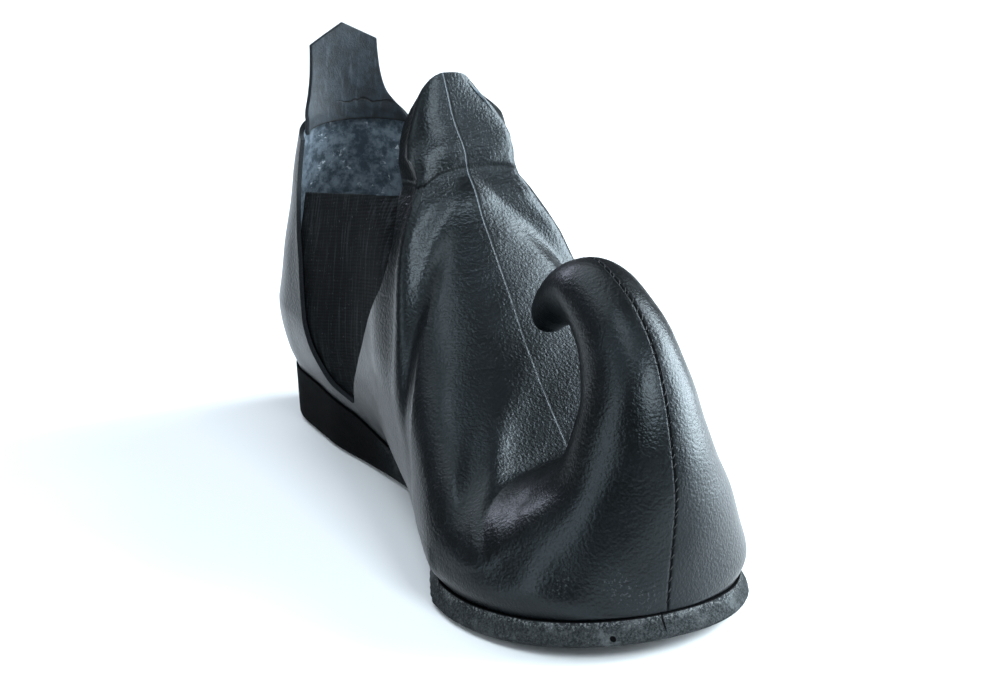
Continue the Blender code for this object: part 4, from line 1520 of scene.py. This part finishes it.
def make_insole():
    inner = outline_points(lambda s: 0.0 * s - INSOLE_INSET)
    lower = outline_points(lambda s: 0.0 * s - INSOLE_INSET - INSOLE_RIM)
    floor = sole_top(inner[:, 0]) + SEAT_GAP
    rings = [np.column_stack((lower, floor)),
             np.column_stack((inner, floor + INSOLE_RIM)),
             np.column_stack((inner, floor + INSOLE_THICK - INSOLE_RIM)),
             np.column_stack((lower, floor + INSOLE_THICK))]
    piece = new_object("insole_board", slab_mesh("insole_board", rings))
    piece.data.materials.append(board)
    return settle(piece)


insole = make_insole()
dress(insole, "insole")

# %% [markdown]
# ## Threads
#
# The front seam is sewn with a dark thread whose short stitches cross the groove. A texture could hint
# at them, but they catch the light singly. They are thin tubes laid on the dressed skin, so they follow
# every dip of the seam.

# %% Threads
THREAD_RADIUS = 0.2
STITCH_HALF = 0.7
SEAM_END = 2.0
TUBE_SIDES = 6


def tube_mesh(name, lines, radius):
    """Round tubes along lines of world points, with closed ends."""
    mesh = bmesh.new()
    for line in lines:
        line = [Vector(p) for p in line]
        rings = []
        for i, point in enumerate(line):
            ahead = (line[min(i + 1, len(line) - 1)] - line[max(i - 1, 0)]).normalized()
            side = ahead.orthogonal().normalized()
            other = ahead.cross(side)
            turns = [2 * math.pi * k / TUBE_SIDES for k in range(TUBE_SIDES)]
            rings.append([mesh.verts.new(point + (side * math.cos(a) + other * math.sin(a)) * radius)
                          for a in turns])
        for near, far in zip(rings, rings[1:]):
            for k in range(TUBE_SIDES):
                n = (k + 1) % TUBE_SIDES
                mesh.faces.new([near[k], near[n], far[n], far[k]])
        mesh.faces.new(rings[0][::-1])
        mesh.faces.new(rings[-1])
    bmesh.ops.recalc_face_normals(mesh, faces=mesh.faces)
    data = bpy.data.meshes.new(name)
    mesh.to_mesh(data)
    mesh.free()
    data.shade_smooth()
    return data


def point_at(side, row, distance):
    """A point of the dressed skin on one rib, at a distance from the middle, on the front side."""
    line = dressed[side][0][row, :LOW_COUNT]
    reach = np.abs(line[:, 1] - line[0, 1])
    return np.array([np.interp(distance, reach, line[:, k]) for k in range(3)])


def front_stitches():
    """Short stitches across the front seam, slanting a little."""
    first = int(np.searchsorted(PLACES, TOE_RIB)) + 2
    last = int(np.searchsorted(PLACES, LAST_RIB - 1))
    centre = dressed[1][0][first:last, 0]
    run = np.concatenate(((0.0,), np.cumsum(np.linalg.norm(np.diff(centre, axis=0), axis=-1))))
    lines = []
    for at in np.arange(SEAM_END, run[-1] - SEAM_END, STITCH_PITCH):
        row = first + int(np.argmin(np.abs(run - at)))
        left = point_at(1, row, STITCH_HALF)
        right = point_at(-1, min(row + 1, len(dressed[1][0]) - 1), STITCH_HALF)
        low = point_at(1, row, 0.0)
        middle = (left + right + low) / 3
        lines.append(to_world([left, middle, right]))
    return lines


def make_threads():
    name = "front_seam_stitches"
    piece = new_object(name, tube_mesh(name, front_stitches(), THREAD_RADIUS * MM))
    piece.data.materials.append(dark_thread)
    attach(piece, "root")
    print(name, len(piece.data.polygons), "faces")


make_threads()

# %% [markdown]
# ## Floor, light and camera
#
# The shoe stands on a pale floor under soft light. Black leather shows its form only by what it
# reflects, and one even dome of light makes it grey and flat. So eight area lights stand apart, with dark
# between them: the strongest at the outer side, a weak one at the inner side, others above, in front and
# behind. The camera looks down at the toe from the inner side, through a long lens.

# %% Floor
FLOOR_HALF = 6.0


def make_floor():
    paint = Paint("pale_floor")
    cloud = paint.noise(400.0, 2.0)
    colour = paint.blend(cloud, (0.80, 0.80, 0.80), (0.83, 0.828, 0.825))
    material = paint.finish(colour, 0.55 + cloud * 0.1)
    corners = [(-FLOOR_HALF, -FLOOR_HALF, 0), (FLOOR_HALF, -FLOOR_HALF, 0),
               (FLOOR_HALF, FLOOR_HALF, 0), (-FLOOR_HALF, FLOOR_HALF, 0)]
    data = bpy.data.meshes.new("floor")
    data.from_pydata(corners, [], [(0, 1, 2, 3)])
    data.materials.append(material)
    return new_object("floor", data)


floor = make_floor()

# %% Lights
AIM = Vector((0.0, -0.03, 0.05))
# name, place, width, height, watts, colour
LIGHTS = (
    ("left_light", (-1.05, -0.20, 0.42), 0.60, 0.80, 6.0, (0.80, 0.92, 1.0)),
    ("right_light", (1.00, -0.22, 0.42), 0.70, 0.80, 42.0, (0.82, 0.93, 1.0)),
    ("front_right_light", (0.97, -0.67, 0.34), 0.50, 0.60, 10.0, (0.82, 0.93, 1.0)),
    ("right_top_light", (1.00, 0.10, 1.00), 0.50, 0.50, 8.0, (0.82, 0.93, 1.0)),
    ("front_top_light", (0.05, -1.05, 0.98), 0.50, 0.50, 15.0, (0.82, 0.93, 1.0)),
    ("top_light", (-0.45, -0.25, 1.40), 0.50, 0.50, 6.0, (0.82, 0.93, 1.0)),
    ("back_top_light", (-0.35, 0.95, 1.50), 1.70, 0.90, 12.0, (0.82, 0.93, 1.0)),
    ("back_light", (-0.16, 1.15, 0.60), 0.50, 0.40, 4.2, (0.80, 0.84, 1.0)),
)
STUDIO_COLOUR = (0.93, 0.96, 1.0, 1.0)
STUDIO_STRENGTH = 0.08


def make_light(name, place, width, height, watts, colour):
    light = bpy.data.lights.new(name, "AREA")
    light.shape = "RECTANGLE"
    light.size = width
    light.size_y = height
    light.energy = watts
    light.color = colour
    lamp = new_object(name, light)
    lamp.location = place
    lamp.rotation_euler = (AIM - lamp.location).to_track_quat("-Z", "Y").to_euler()


for row in LIGHTS:
    make_light(*row)
world = bpy.data.worlds.new("studio")
world.use_nodes = True
background = world.node_tree.nodes["Background"]
background.inputs["Color"].default_value = STUDIO_COLOUR
background.inputs["Strength"].default_value = STUDIO_STRENGTH
bpy.context.scene.world = world
bpy.context.scene.view_settings.view_transform = "Standard"
print(len(LIGHTS), "lights")

# %% Camera
LENS = 97.9
SENSOR = 36.0
NEAREST = 0.01
CAMERA_AT = Vector((-0.4059, -0.8248, 0.384))
LOOK_AT = Vector((-0.0136, -0.0400, 0.0756))


def make_camera():
    data = bpy.data.cameras.new("camera")
    data.lens = LENS
    data.sensor_width = SENSOR
    data.clip_start = NEAREST
    eye = new_object("camera", data)
    eye.location = CAMERA_AT
    eye.rotation_euler = (LOOK_AT - CAMERA_AT).to_track_quat("-Z", "Y").to_euler()
    bpy.context.scene.camera = eye


make_camera()
print("camera looks along", [round(v, 2) for v in (LOOK_AT - CAMERA_AT).normalized()])
